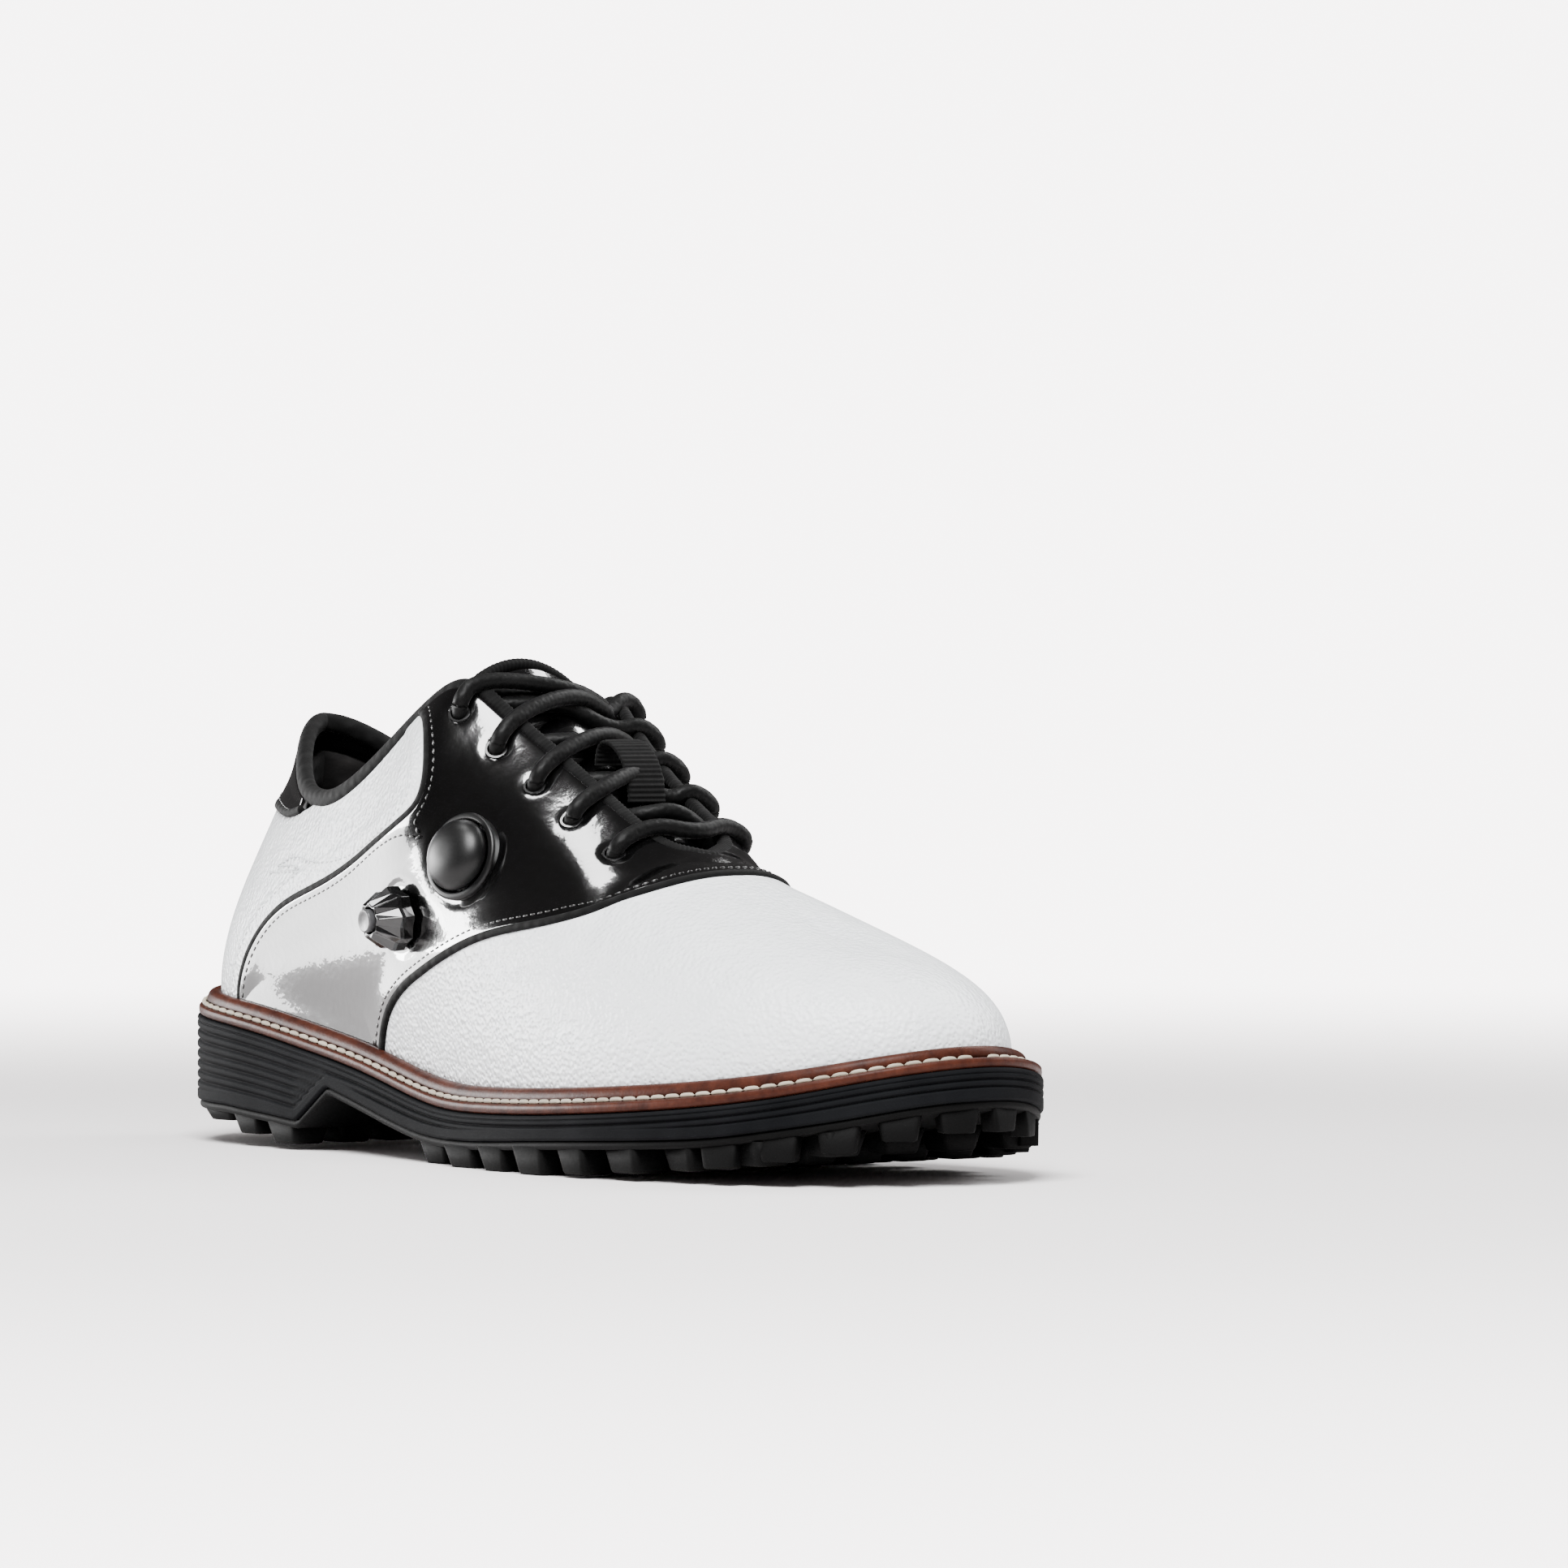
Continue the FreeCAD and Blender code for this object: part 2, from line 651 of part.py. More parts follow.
def tongue_point(a, b, depth):
    """a goes across from -1 to 1, b from the vamp (0) to the top (1)."""
    def top(p, q):
        x = TONGUE_X[-1] + (TONGUE_X[0] - TONGUE_X[-1]) * q
        y = p * tongue_half(x)
        return Vec(x, tongue_y(x) + y, tongue_z(x) + tongue_tilt(x) * y - tongue_crown(x) * y * y)
    step = 1e-3
    across = top(a + step, b) - top(a - step, b)
    along = top(a, min(b + step, 1)) - top(a, max(b - step, 0))
    n = along.cross(across) * -1
    return top(a, b) - n / n.Length * depth


def tongue_layer(depths, end=0.95, edge_at=1.0):
    grids = []
    for depth in depths:
        rows = [[tongue_point(a, b, depth) for b in steps(16, 0, end)] for a in steps(12, -edge_at, edge_at)]
        grids.append(rows)
    return close_solid(sheet_faces(grids[0], grids[1], "s0 s1 t0 t1"))


def make_tongue_binding(radius=3.0, n=8):
    rings = []
    for a in steps(14, -1, 1):
        centre = tongue_point(a, .975, radius)
        across = tongue_point(a + .01, .975, radius) - tongue_point(a - .01, .975, radius)
        across = across / across.Length
        up = tongue_point(a, .975, 0) - centre
        up = up - across * up.dot(across)
        up = up / up.Length
        forward = across.cross(up)
        ring = []
        for k in range(n):
            w = 2 * math.pi * k / n
            ring.append(centre + up * (radius * 1.12 * math.cos(w)) + forward * (radius * .8 * math.sin(w)))
        rings.append(ring)
    return tube_solid(rings)


def make_lace_loop():
    """The webbing loop on the tongue that the laces pass under."""
    path = [(5.5, 1.0), (6.8, 6.5), (9.6, 11), (14, 13.4), (18.6, 13.3), (22.2, 10.8), (24.6, 6.2),
            (25.4, 1.2)]
    half_thick, low_y, high_y = 0.5, -2.5, 9
    grids = []
    for grow in (half_thick, -half_thick):
        grids.append([[Vec(x, y, tongue_z(x) + z + grow) for y in steps(4, low_y, high_y)] for x, z in path])
    return close_solid(sheet_faces(grids[0], grids[1], "s0 s1 t0 t1"))


# ---- lacing ------------------------------------------------------------------------------
def round_cord(points, radius):
    """A cord along straight runs joined by tangent arcs."""
    cuts = [points[0]]
    edges = []
    for before, here, after in zip(points, points[1:], points[2:]):
        a, b = here - before, after - here
        reach = 0.45 * min(a.Length, b.Length)
        a, b = a / a.Length, b / b.Length
        half = math.acos(max(-1, min(1, a.dot(b)))) / 2
        bend = reach / math.tan(half)
        inward = (b - a) / (b - a).Length
        centre = here + inward * (bend / math.cos(half))
        start, middle, end = here - a * reach, centre - inward * bend, here + b * reach
        edges.append(Part.LineSegment(cuts[-1], start).toShape())
        edges.append(Part.Arc(start, middle, end).toShape())
        cuts.append(end)
    edges.append(Part.LineSegment(cuts[-1], points[-1]).toShape())
    wire = Part.Wire(edges)
    ring = Part.Wire([Part.Circle(points[0], points[1] - points[0], radius).toShape()])
    return wire.makePipeShell([ring], True, False)


def over_tongue(x, y, lift):
    """A point above the tongue, out along its normal."""
    a = (y - tongue_y(x)) / tongue_half(x)
    b = (x - TONGUE_X[-1]) / (TONGUE_X[0] - TONGUE_X[-1])
    return tongue_point(a, b, -lift)


def hole_end(side, k):
    """The cord coming up through eyelet k and over the facing edge."""
    u = EYELETS[k][0] + .003
    centre, n = frame_at(side, EYELETS[k])
    return [centre - n * 2.4, centre + n * 3.9, surface(side, u, 1) + normal(side, u, .97) * 3.8]


def under_end(side, u, end):
    """The cord going under the facing edge at u, to its end below the place called end."""
    centre, n = frame_at(side, end)
    return [centre - n * 4.9, surface(side, u, 1) - normal(side, u, .97) * 4.65]


def lace_run(start, finish, x, lift):
    """One run from hole or facing to facing. It rests on the tongue where it goes down to it."""
    middle = over_tongue(x, tongue_y(x), lift)
    points = list(start)
    for end in (start, finish):
        near = end[-1]
        beside = []
        if len(end) == 2 or lift == LACE_LOW:
            half_x, half_y = (near.x + middle.x) / 2, (near.y + middle.y) / 2
            beside = [over_tongue(half_x, half_y, lift - LACE_DIP if lift > LACE_LOW else lift + 0.4)]
        points += beside + [middle] if end is start else beside
    return points + list(finish)[::-1]


def make_lace(radius=LACE_RADIUS):
    """Five pairs, a straight bar lowest and crosses above. Runs meet under the eyelets."""
    last = len(EYELETS) - 1
    x_of = [(surface(-1, *place).x + surface(1, *place).x) / 2 for place in EYELETS]
    runs = [lace_run(hole_end(-1, last), hole_end(1, last), x_of[last] + 1.5, 6.5)]
    low_u = [place[0] - .010 for place in EYELETS]
    for side, lift in ((-1, LACE_LOW), (1, LACE_HIGH)):
        first = under_end(side, EYELETS[last][0] + .014, EYELETS[last])
        second = under_end(-side, low_u[last - 1], EYELETS[last - 1])
        runs.append(lace_run(first, second, (x_of[last] + x_of[last - 1]) / 2, lift))
    for k in range(last - 1, 0, -1):
        for side, lift in ((-1, LACE_HIGH), (1, LACE_LOW)):
            finish = under_end(-side, low_u[k - 1], EYELETS[k - 1])
            runs.append(lace_run(hole_end(side, k), finish, (x_of[k] + x_of[k - 1]) / 2, lift))
    for side, lift in ((-1, LACE_HIGH + TUCKED_RISE), (1, LACE_LOW)):
        tucked = under_end(-side, *TUCKED_AT)
        runs.append(lace_run(hole_end(side, 0), tucked, -18.5, lift))
    return Part.makeCompound([round_cord(run, radius) for run in runs])


def dented(shape, cords):
    """A soft part with the shallow grooves that the cords press into it."""
    for cord in cords.Solids:
        if cord.BoundBox.intersect(shape.BoundBox):
            shape = shape.cut(cord)
    return max(shape.Solids, key=lambda solid: solid.Volume)


def make_eyelets():
    low, high = -2.6, -0.1
    profile = [(EYELET_BORE, low), (EYELET_RADIUS, low), (EYELET_RADIUS, high), (EYELET_BORE, high)]
    rings = []
    for side in (-1, 1):
        for place in EYELETS:
            centre, n = frame_at(side, place)
            ring = turned(profile)
            rings.append(placed(ring, centre, n))
    return Part.makeCompound(rings)


def drill(shape, side, place, radius):
    centre, n = frame_at(side, place)
    return shape.cut(Part.makeCylinder(radius, 16, centre - n * 5, n))


def drill_eyelets(shape, side):
    for place in EYELETS:
        shape = drill(shape, side, place, EYELET_HOLE)
    return shape


# ---- inflation bulb and release valve --------------------------------------------------------
def at_bulb(shape):
    return placed(shape, *frame_at(-1, BULB_AT))


def at_valve(shape):
    return placed(shape, *frame_at(-1, VALVE_AT))


def make_bulb_base():
    return at_bulb(turned([(1.4, -2.9), (9.3, -2.9), (9.3, -2.3), (1.4, -2.3)]))


def make_bulb_skirt():
    low, shoulder, top = -2.1, 1.6, 2.4
    profile = [(SKIRT_BORE, low), (SKIRT_OUTER, low), (SKIRT_OUTER, shoulder), (10.4, top), (SKIRT_BORE, top)]
    return at_bulb(turned(profile))


def make_bulb():
    """The rubber dome, hollow and open at the back."""
    rim, top = CAP_RIM, CAP_HEIGHT
    spring_line = 2.9
    radius = (CAP_RADIUS ** 2 + (top - spring_line) ** 2) / (2 * (top - spring_line))
    centre = top - radius
    outer = [(CAP_RADIUS, rim), (CAP_RADIUS, spring_line)]
    inner_r = radius - CAP_WALL
    start = math.asin(CAP_RADIUS / radius)
    for k in (.85, .7, .55, .4, .25, .1):
        outer.append((radius * math.sin(start * k), centre + radius * math.cos(start * k)))
    inner_start = math.asin((CAP_RADIUS - CAP_WALL) / inner_r)
    inner = [(inner_r * math.sin(inner_start * k), centre + inner_r * math.cos(inner_start * k))
             for k in (.1, .3, .5, .7, .9)]
    profile = outer + [(0, top), (0, centre + inner_r)] + inner + [(CAP_RADIUS - CAP_WALL, rim)]
    return at_bulb(turned(profile))


def make_intake_valve():
    return at_bulb(turned([(0, -3.2), (1.2, -3.2), (1.2, -2.2), (2.4, -2.2), (2.0, -1.3), (0, -1.3)]))


def make_valve_knob():
    """A faceted cone with a bore for the button."""
    def ring(radius, z):
        corners = []
        for k in range(KNOB_FACETS + 1):
            w = 2 * math.pi * k / KNOB_FACETS
            corners.append(Vec(radius * math.cos(w), radius * math.sin(w), z))
        return Part.makePolygon(corners)
    base_z = 0.5
    sections = [ring(KNOB_BASE, base_z), ring(KNOB_BASE * .97, 4.0), ring(KNOB_TIP, KNOB_HEIGHT)]
    cone = Part.makeLoft(sections, True, True)
    cone = cone.cut(Part.makeCylinder(BUTTON_BORE, 20, Vec(0, 0, 2.0)))
    for k in range(KNOB_FACETS // 2):
        w = 2 * math.pi * (k + 0.25) / (KNOB_FACETS // 2)
        notch = Part.makeCylinder(1.1, 12, Vec(8.3 * math.cos(w), 8.3 * math.sin(w), base_z))
        cone = cone.cut(notch)
    return at_valve(cone.cut(Part.makeCylinder(1.2, 20, Vec(0, 0, -2))))


def make_valve_stem():
    return at_valve(turned([(1.1, -3.1), (STEM_RADIUS, -3.1), (STEM_RADIUS, 0.4), (1.1, 0.4)]))


def make_valve_seal():
    return at_valve(Part.makeTorus(2.3, 0.55, Vec(0, 0, 2.6)))


def make_valve_spring():
    """The return spring, drawn at its pressed length."""
    height, turns, radius, wire = 2.4, 3, 2.3, 0.3
    helix = Part.makeHelix(height / turns, height, radius)
    ring = Part.Wire([Part.Circle(Vec(radius, 0, 0), Vec(0, 1, 0), wire).toShape()])
    coil = Part.Wire(helix.Edges).makePipeShell([ring], True, True)
    coil.translate(Vec(0, 0, 3.6))
    return at_valve(coil)


def make_valve_button():
    low, top = 8.1, KNOB_HEIGHT + BUTTON_PROUD
    chamfer = 0.5
    profile = [(0, low), (BUTTON_RADIUS, low), (BUTTON_RADIUS, top - chamfer), (BUTTON_RADIUS - chamfer, top),
               (0, top)]
    return at_valve(turned(profile))


def make_air_tube(places, radius=0.75, depth=2.35):
    return round_cord([skin(-1, u, v, depth) for u, v in places], radius)


# ---- all nodes -----------------------------------------------------------------------------
def main():
    os.makedirs("parts", exist_ok=True)
    nodes = {}
    nodes["outsole"] = make_outsole()
    nodes["midsole"] = make_midsole()
    nodes["welt"] = make_welt()
    nodes["storm_welt"] = make_storm_welt()
    nodes["welt_stitches"] = make_welt_stitches()
    nodes["bottom_filler"] = inner_plate(14, 0.15, 2.9, 0, 160)
    nodes["shank"] = make_shank()
    nodes["insole_board"] = inner_plate(13.6, 3.1, 5.2)
    nodes["sockliner"] = inner_plate(14.2, 5.4, 9)

    nodes["vamp"] = make_vamp()
    saddle = drill_eyelets(drill_eyelets(make_saddle(), -1), 1)
    saddle = drill(drill(saddle, -1, BULB_AT, BULB_HOLE), -1, VALVE_AT, STEM_HOLE)
    nodes["saddle"] = saddle
    for side, word in ((-1, "lateral"), (1, "medial")):
        nodes["quarter_" + word] = make_quarter(side)
        nodes["facing_binding_" + word] = make_facing_binding(side)
        nodes["facing_stay_" + word] = drill_eyelets(make_facing_stay(side), side)
    nodes["heel_tab"] = make_heel_tab()
    nodes["collar_binding"] = make_collar_binding()
    nodes["eyelets"] = make_eyelets()

    nodes["toe_puff"] = band(steps(12, 0, .2), lambda u: .02, lambda u: .6, STIFFENER)
    nodes["heel_counter"] = band(steps(12, .82, 1), lambda u: .02, lambda u: .52, STIFFENER)
    nodes["air_bladder"] = band(steps(20, .66, 1), lambda u: .56, lambda u: .80, PADDING)
    nodes["collar_foam"] = band(steps(20, .66, 1), lambda u: .82, lambda u: leather_top(u) - .015, PADDING)
    nodes["vamp_lining"] = make_vamp_lining()
    lining_top = ramp([.385, .58, .64, 1], [.77, .77, .90, .90])
    nodes["quarter_lining"] = band(steps(30, .384, 1), lambda u: 0, lining_top, LINING, 16)

    nodes["tongue_face"] = tongue_layer((0, 1.3))
    nodes["tongue_foam"] = tongue_layer((1.5, 4.8), edge_at=.96)
    nodes["tongue_lining"] = tongue_layer((5.0, 5.8), edge_at=.98)
    nodes["tongue_binding"] = make_tongue_binding()
    nodes["lace_loop"] = make_lace_loop()
    nodes["lace"] = make_lace()
    pressed = make_lace(LACE_RADIUS + LACE_CLEARANCE)
    for name in ("tongue_face", "lace_loop", "facing_binding_lateral", "facing_binding_medial"):
        nodes[name] = dented(nodes[name], pressed)

    nodes["bulb_base"] = make_bulb_base()
    nodes["bulb_skirt"] = make_bulb_skirt()
    nodes["inflation_bulb"] = make_bulb()
    nodes["intake_valve"] = make_intake_valve()
    nodes["release_valve_knob"] = make_valve_knob()
    nodes["release_valve_stem"] = make_valve_stem()
    nodes["release_valve_seal"] = make_valve_seal()
    nodes["release_valve_spring"] = make_valve_spring()
    nodes["release_valve_button"] = make_valve_button()
    nodes["air_tube_in"] = make_air_tube([(.570, .60), (.60, .66), (.652, .66)])
    nodes["air_tube_out"] = make_air_tube([(.652, .60), (.63, .56), (.615, .45), (.612, .38)])

    for name, shape in nodes.items():
        box = shape.BoundBox
        state = "" if shape.isValid() else "  NOT VALID"
        spans = (box.XMin, box.XMax, box.YMin, box.YMax, box.ZMin, box.ZMax)
        print("%-24s solids %3d  vol %9.1f" % (name, len(shape.Solids), shape.Volume),
              " x %7.1f %7.1f  y %6.1f %6.1f  z %6.1f %6.1f" % spans, state)
        shape.exportStep("parts/%s.step" % name)


main()
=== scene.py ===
import json
import math

import bmesh
import bpy
import numpy as np
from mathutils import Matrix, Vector
from mathutils.kdtree import KDTree


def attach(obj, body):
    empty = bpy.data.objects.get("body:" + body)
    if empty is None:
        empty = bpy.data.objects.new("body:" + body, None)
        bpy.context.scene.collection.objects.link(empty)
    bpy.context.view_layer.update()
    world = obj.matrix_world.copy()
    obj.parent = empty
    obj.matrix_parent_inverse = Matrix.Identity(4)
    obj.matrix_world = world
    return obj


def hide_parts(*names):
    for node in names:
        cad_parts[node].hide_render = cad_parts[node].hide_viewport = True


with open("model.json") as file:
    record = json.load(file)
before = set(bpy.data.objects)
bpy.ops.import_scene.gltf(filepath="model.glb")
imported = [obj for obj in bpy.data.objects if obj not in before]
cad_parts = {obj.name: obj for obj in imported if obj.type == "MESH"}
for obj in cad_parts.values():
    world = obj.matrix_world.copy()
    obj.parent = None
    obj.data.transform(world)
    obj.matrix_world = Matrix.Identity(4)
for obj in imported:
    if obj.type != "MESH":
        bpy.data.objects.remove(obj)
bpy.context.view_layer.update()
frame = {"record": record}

# A right-foot golf shoe. Lengths here are in millimetres, and become metres in add_mesh().
# The upper is one reference surface: side is -1 outer or +1 inner, u runs from the toe (0)
# to the heel (1), v from the welt (0) to the top line (1).
MM = 0.001

# ---- driving dimensions --------------------------------------------------------------------
# The sole, the upper's shape, the seams and the tongue are as in the CAD part. The laces lie lower
# than the CAD ones, and the loop, the knob and the leather's upper edge have their own shapes here.
HALF = 150.0
LEATHER = 1.4
SEAM_GAP = 0.0006
WELT_THICK = 3.0
WELT_WIDTH = 4.2
PLATE_THICK = 2.1
LACE_RADIUS = 2.1
LACE_LOW = 2.0
LACE_HIGH = 5.7
TUCKED_AT = (.594, (.600, .92))
TUCKED_LIFT = 6.2
LACE_DIP = 1.2
TOP_PAIR_X = -12
EYELETS = [(0.588, 0.896), (0.550, 0.878), (0.510, 0.858), (0.468, 0.839), (0.418, 0.823)]
BULB_AT = (0.532, 0.547)
BULB_WELL = 9.9
VALVE_AT = (0.598, 0.334)

LATERAL = [(HALF, 8), (145, -10), (132, -26.5), (110, -40.5), (84, -48.5), (56, -51.5), (26, -49.2),
           (-6, -43.5), (-38, -38.7), (-70, -36.8), (-100, -36.3), (-124, -32), (-141, -20), (-HALF, 0)]
MEDIAL = [(HALF, 8), (144, 27), (128, 42.5), (104, 50.5), (78, 51), (50, 46), (20, 37), (-10, 31.2),
          (-40, 31), (-72, 34.4), (-102, 35.8), (-126, 31.5), (-142, 20), (-HALF, 0)]
TOP_X = [-150, -124, -94, -72, -44, -24, -3, 20, 45, 75, 100, 126, 144, 150]
TOP_Z = [34.5, 32.6, 29.5, 26, 21.2, 17.2, 14.2, 13.8, 14.6, 16.3, 18.4, 22.4, 27, 28.6]
HEEL_UNDER = [(-160, 9.2), (-109, 8.5), (-87, 6.8), (-75, 5.7), (-61, 15), (-35, 9)]
FORE_UNDER_X = [-35, -14, 0, 25, 46, 88, 107, 122, 137, 146, 150, 160]
FORE_UNDER_Z = [9, 5.4, 4.6, 5.2, 6.3, 8.2, 9.6, 11.9, 15, 17.6, 18.7, 21.5]
LUG_X = [-150, -122, -102, -84, -68, -20, 10, 46, 77, 103, 117, 131, 145]
LUG_Z = [8.6, 6.6, 3.5, 1.6, 0, 0, 0, 0, 1.9, 3.7, 5.7, 8.4, 13]
STATION = [0, .08, .16, .24, .30, .34, .37, .39, .42, .47, .52, .57, .60, .63, .68, .73, .80, .87, .93, 1.0]
RIM_X = [98, 96, 88.5, 76, 65.5, 57.5, 50, 45.5, 38, 22, 5, -11, -20, -30, -47, -63, -79, -94, -107, -115]
RIM_Y = {-1: [2.5, 2.5, 2.5, 2.5, 2.5, 2.5, 2.5, -2.5, -7.5, -9.5, -12.5, -18, -21.5, -24.5, -28.5, -29.2,
              -26.5, -20.5, -11, 0],
         1: [2.5, 2.5, 2.5, 2.5, 2.5, 2.5, 2.5, 8, 13.5, 16, 18.5, 22, 24.5, 27, 29, 29.2, 26.5, 20.5, 11, 0]}
RIM_Z = {-1: [58.5, 59, 62, 66.8, 71, 74.2, 77.4, 79, 83, 92.5, 103.5, 115.5, 121, 117, 103.5, 94.5, 92.5,
              97, 107, 112],
         1: [58.5, 59, 62, 66.8, 71, 74.2, 77.4, 79, 83, 91.5, 101.5, 112, 116.5, 113.5, 103, 96, 95, 99.5,
             108, 112]}
RISE = [14, 12, 8, 4, 2, 1, 0, 6, 12, 20, 28, 36, 42, 52, 68, 75, 76, 75, 73, 72]
TURN = [90, 62, 38, 20, 10, 5, 2, 0, 0, 0, 0, 0, 0, 0, 0, 0, 10, 30, 60, 90]
LEAN = [4, 5, 7, 8, 8, 8, 8, 8, 8, 8, 8, 8, 8, 8, 8, 8, 8, 6, 5, 5]
PULL_LOW = [.62, .62, .62, .62, .62, .62, .60, .60, .58, .55, .5, .45, .42, .4, .36, .36, .36, .36, .36, .36]
PULL_HIGH = [.60, .60, .60, .60, .60, .60, .60, .55, .5, .48, .45, .42, .4, .38, .36, .36, .36, .36, .36, .36]
THROAT = 0.37
SHARED = 6
SEAM_T = [0, .15, .3, .45, .6, .72, .86, 1]
VAMP_SEAM = [(.640, 0), (.618, .135), (.565, .237), (.504, .345), (.44, .45), (.395, .54), (.352, .69),
             (.328, 1)]
QUARTER_SEAM = [(.838, 0), (.833, .2), (.812, .42), (.76, .58), (.675, .622), (.612, .572), (.592, .70),
                (.638, 1)]
TONGUE_X = [-26, -23.5, -20, -17, -11, 5, 22, 40, 50, 60]
TONGUE_Z = [127.8, 125.8, 121.3, 117.9, 113.3, 100.7, 89.2, 77.2, 70.3, 64]
LOOP_PATH = [(8, 1.0), (8.6, 5), (10.6, 8.6), (14, 10.4), (17.4, 10.2), (20, 8.2), (21.4, 4.6), (21.8, 1.0)]
LUG_ROWS = [-136, -118, -100, -83, -9, 9, 26, 43, 60, 77, 94, 111, 126]
LUG_MARGIN = 7.0
LUG_SPACING = 15.5
LUG_WIDTH = 9.0
TOE_BLOCKS = (.022, .066, .110, .154, .200)
TOE_BLOCK_INSET = 3.9
TOE_BLOCK_CLIMB = 2.6


# ---- curves and the reference surface -----------------------------------------------------
def spline(xs, ys, ends=(None, None)):
    """A cubic spline through points, which takes arrays. An end slope of None leaves that end free."""
    xs, ys = np.array(xs, float), np.array(ys, float)
    n, h = len(xs), np.diff(xs)
    slope = np.diff(ys) / h
    matrix, right = np.eye(n), np.zeros(n)
    for i in range(1, n - 1):
        matrix[i, i - 1:i + 2] = h[i - 1], 2 * (h[i - 1] + h[i]), h[i]
        right[i] = 6 * (slope[i] - slope[i - 1])
    if ends[0] is not None:
        matrix[0, :2] = 2 * h[0], h[0]
        right[0] = 6 * (slope[0] - ends[0])
    if ends[1] is not None:
        matrix[-1, -2:] = h[-1], 2 * h[-1]
        right[-1] = 6 * (ends[1] - slope[-1])
    bend = np.linalg.solve(matrix, right)

    def value(x):
        x = np.clip(np.asarray(x, float), xs[0], xs[-1])
        i = np.clip(np.searchsorted(xs, x) - 1, 0, n - 2)
        p = (xs[i + 1] - x) / h[i]
        q = 1 - p
        curve = (p ** 3 - p) * bend[i] + (q ** 3 - q) * bend[i + 1]
        return p * ys[i] + q * ys[i + 1] + curve * h[i] ** 2 / 6
    return value


def ramp(xs, ys):
    return lambda x: np.interp(x, xs, ys)


def outline(points, sign):
    t = np.concatenate([[0], np.cumsum([math.dist(p, q) for p, q in zip(points, points[1:])])])
    length = t[-1]
    fx = spline(t / length, [p[0] for p in points], (0, 0))
    fy = spline(t / length, [p[1] for p in points], (sign * length, -sign * length))
    return fx, fy


EDGE = {-1: outline(LATERAL, -1), 1: outline(MEDIAL, 1)}
top_z = spline(TOP_X, TOP_Z)
fore_under = spline(FORE_UNDER_X, FORE_UNDER_Z)
heel_under = ramp([p[0] for p in HEEL_UNDER], [p[1] for p in HEEL_UNDER])
lug_bottom = ramp(LUG_X, LUG_Z)
upper_inset = spline([0, .15, .4, .6, .8, 1], [8.5, 7.5, 6.5, 6, 6.3, 6.5])
rim_x = spline(STATION, RIM_X, (0, None))
rim_y = {s: spline(STATION[SHARED:], RIM_Y[s][SHARED:], (0, None)) for s in RIM_Y}
rim_z_side = {s: spline(STATION, RIM_Z[s], (0, 0)) for s in RIM_Z}
rise, turn, lean = spline(STATION, RISE), spline(STATION, TURN), spline(STATION, LEAN)
pull_low, pull_high = spline(STATION, PULL_LOW), spline(STATION, PULL_HIGH)
level = spline([0, .33, .42, .5, .56, .62, .66, .70, .76, 1],
               [0, 0, .25, .42, .5, .5, .32, .15, 0, 0], (0, 0))
leather_top = ramp([THROAT, .39, .58, .61, .64, .77, .9, 1], [1, .975, .975, .972, .968, .955, .96, .965])
quarter_top = ramp([.80, .83, .87, .93, 1], [1, .95, .87, .77, .72])


def vec(*parts):
    return np.stack(np.broadcast_arrays(*parts), axis=-1)


def unit(a):
    return a / np.maximum(np.linalg.norm(a, axis=-1, keepdims=True), 1e-12)


def dot(a, b):
    return (a * b).sum(-1, keepdims=True)


def under_z(x):
    return np.where(np.asarray(x) < FORE_UNDER_X[0], heel_under(x), fore_under(x))


def edge(side, u):
    fx, fy = EDGE[side]
    return fx(u), fy(u)


def edge_normal(side, u):
    step = 1e-3
    ax, ay = edge(side, np.maximum(u - step, 0))
    bx, by = edge(side, np.minimum(u + step, 1))
    length = np.hypot(bx - ax, by - ay)
    nx = np.where(u <= 0, 1, np.where(u >= 1, -1, side * (by - ay) / length))
    ny = np.where((u <= 0) | (u >= 1), 0, -side * (bx - ax) / length)
    return nx, ny


def on_sole(side, u, inset, rise_z):
    x, y = edge(side, u)
    nx, ny = edge_normal(side, u)
    x, y = x - nx * inset, y - ny * inset
    return vec(x, y, top_z(x) + rise_z)


def rib(side, u):
    foot = on_sole(side, u, upper_inset(u), WELT_THICK + 0.2)
    rim_height = np.where(u <= THROAT + 1e-6, rim_z_side[-1](u), rim_z_side[side](u))
    rim = vec(rim_x(u), rim_y[side](u), rim_height)
    nx, ny = edge_normal(side, u)
    tilt, up, yaw = np.radians(lean(u)), np.radians(rise(u)), np.radians(turn(u))
    flat = np.hypot(foot[..., 0] - rim[..., 0], foot[..., 1] - rim[..., 1])
    high = rim[..., 2] - foot[..., 2]
    back = np.where(u < .7, -1, 1)
    arrive = vec(back * np.sin(yaw) * np.cos(up), -side * np.cos(yaw) * np.cos(up), np.sin(up))
    leave = vec(nx * np.sin(tilt), ny * np.sin(tilt), np.cos(tilt))
    near_foot = foot + leave * (pull_low(u) * high)[..., None]
    near_rim = rim - arrive * (pull_high(u) * (flat * np.cos(up) + high * np.sin(up)))[..., None]
    return foot, near_foot, near_rim, rim


def surface(side, u, v):
    u, v = np.broadcast_arrays(np.asarray(u, float), np.asarray(v, float))
    a, b, c, d = rib(side, u)
    v = v[..., None]
    w = 1 - v
    return a * w ** 3 + b * (3 * w * w * v) + c * (3 * w * v * v) + d * v ** 3


def one_side_normal(side, u, v):
    step = 2e-3
    du = surface(side, np.minimum(u + step, 1), v) - surface(side, np.maximum(u - step, 0), v)
    dv = surface(side, u, np.minimum(v + step, 1)) - surface(side, u, np.maximum(v - step, 0))
    return unit(np.cross(du, dv) * side)


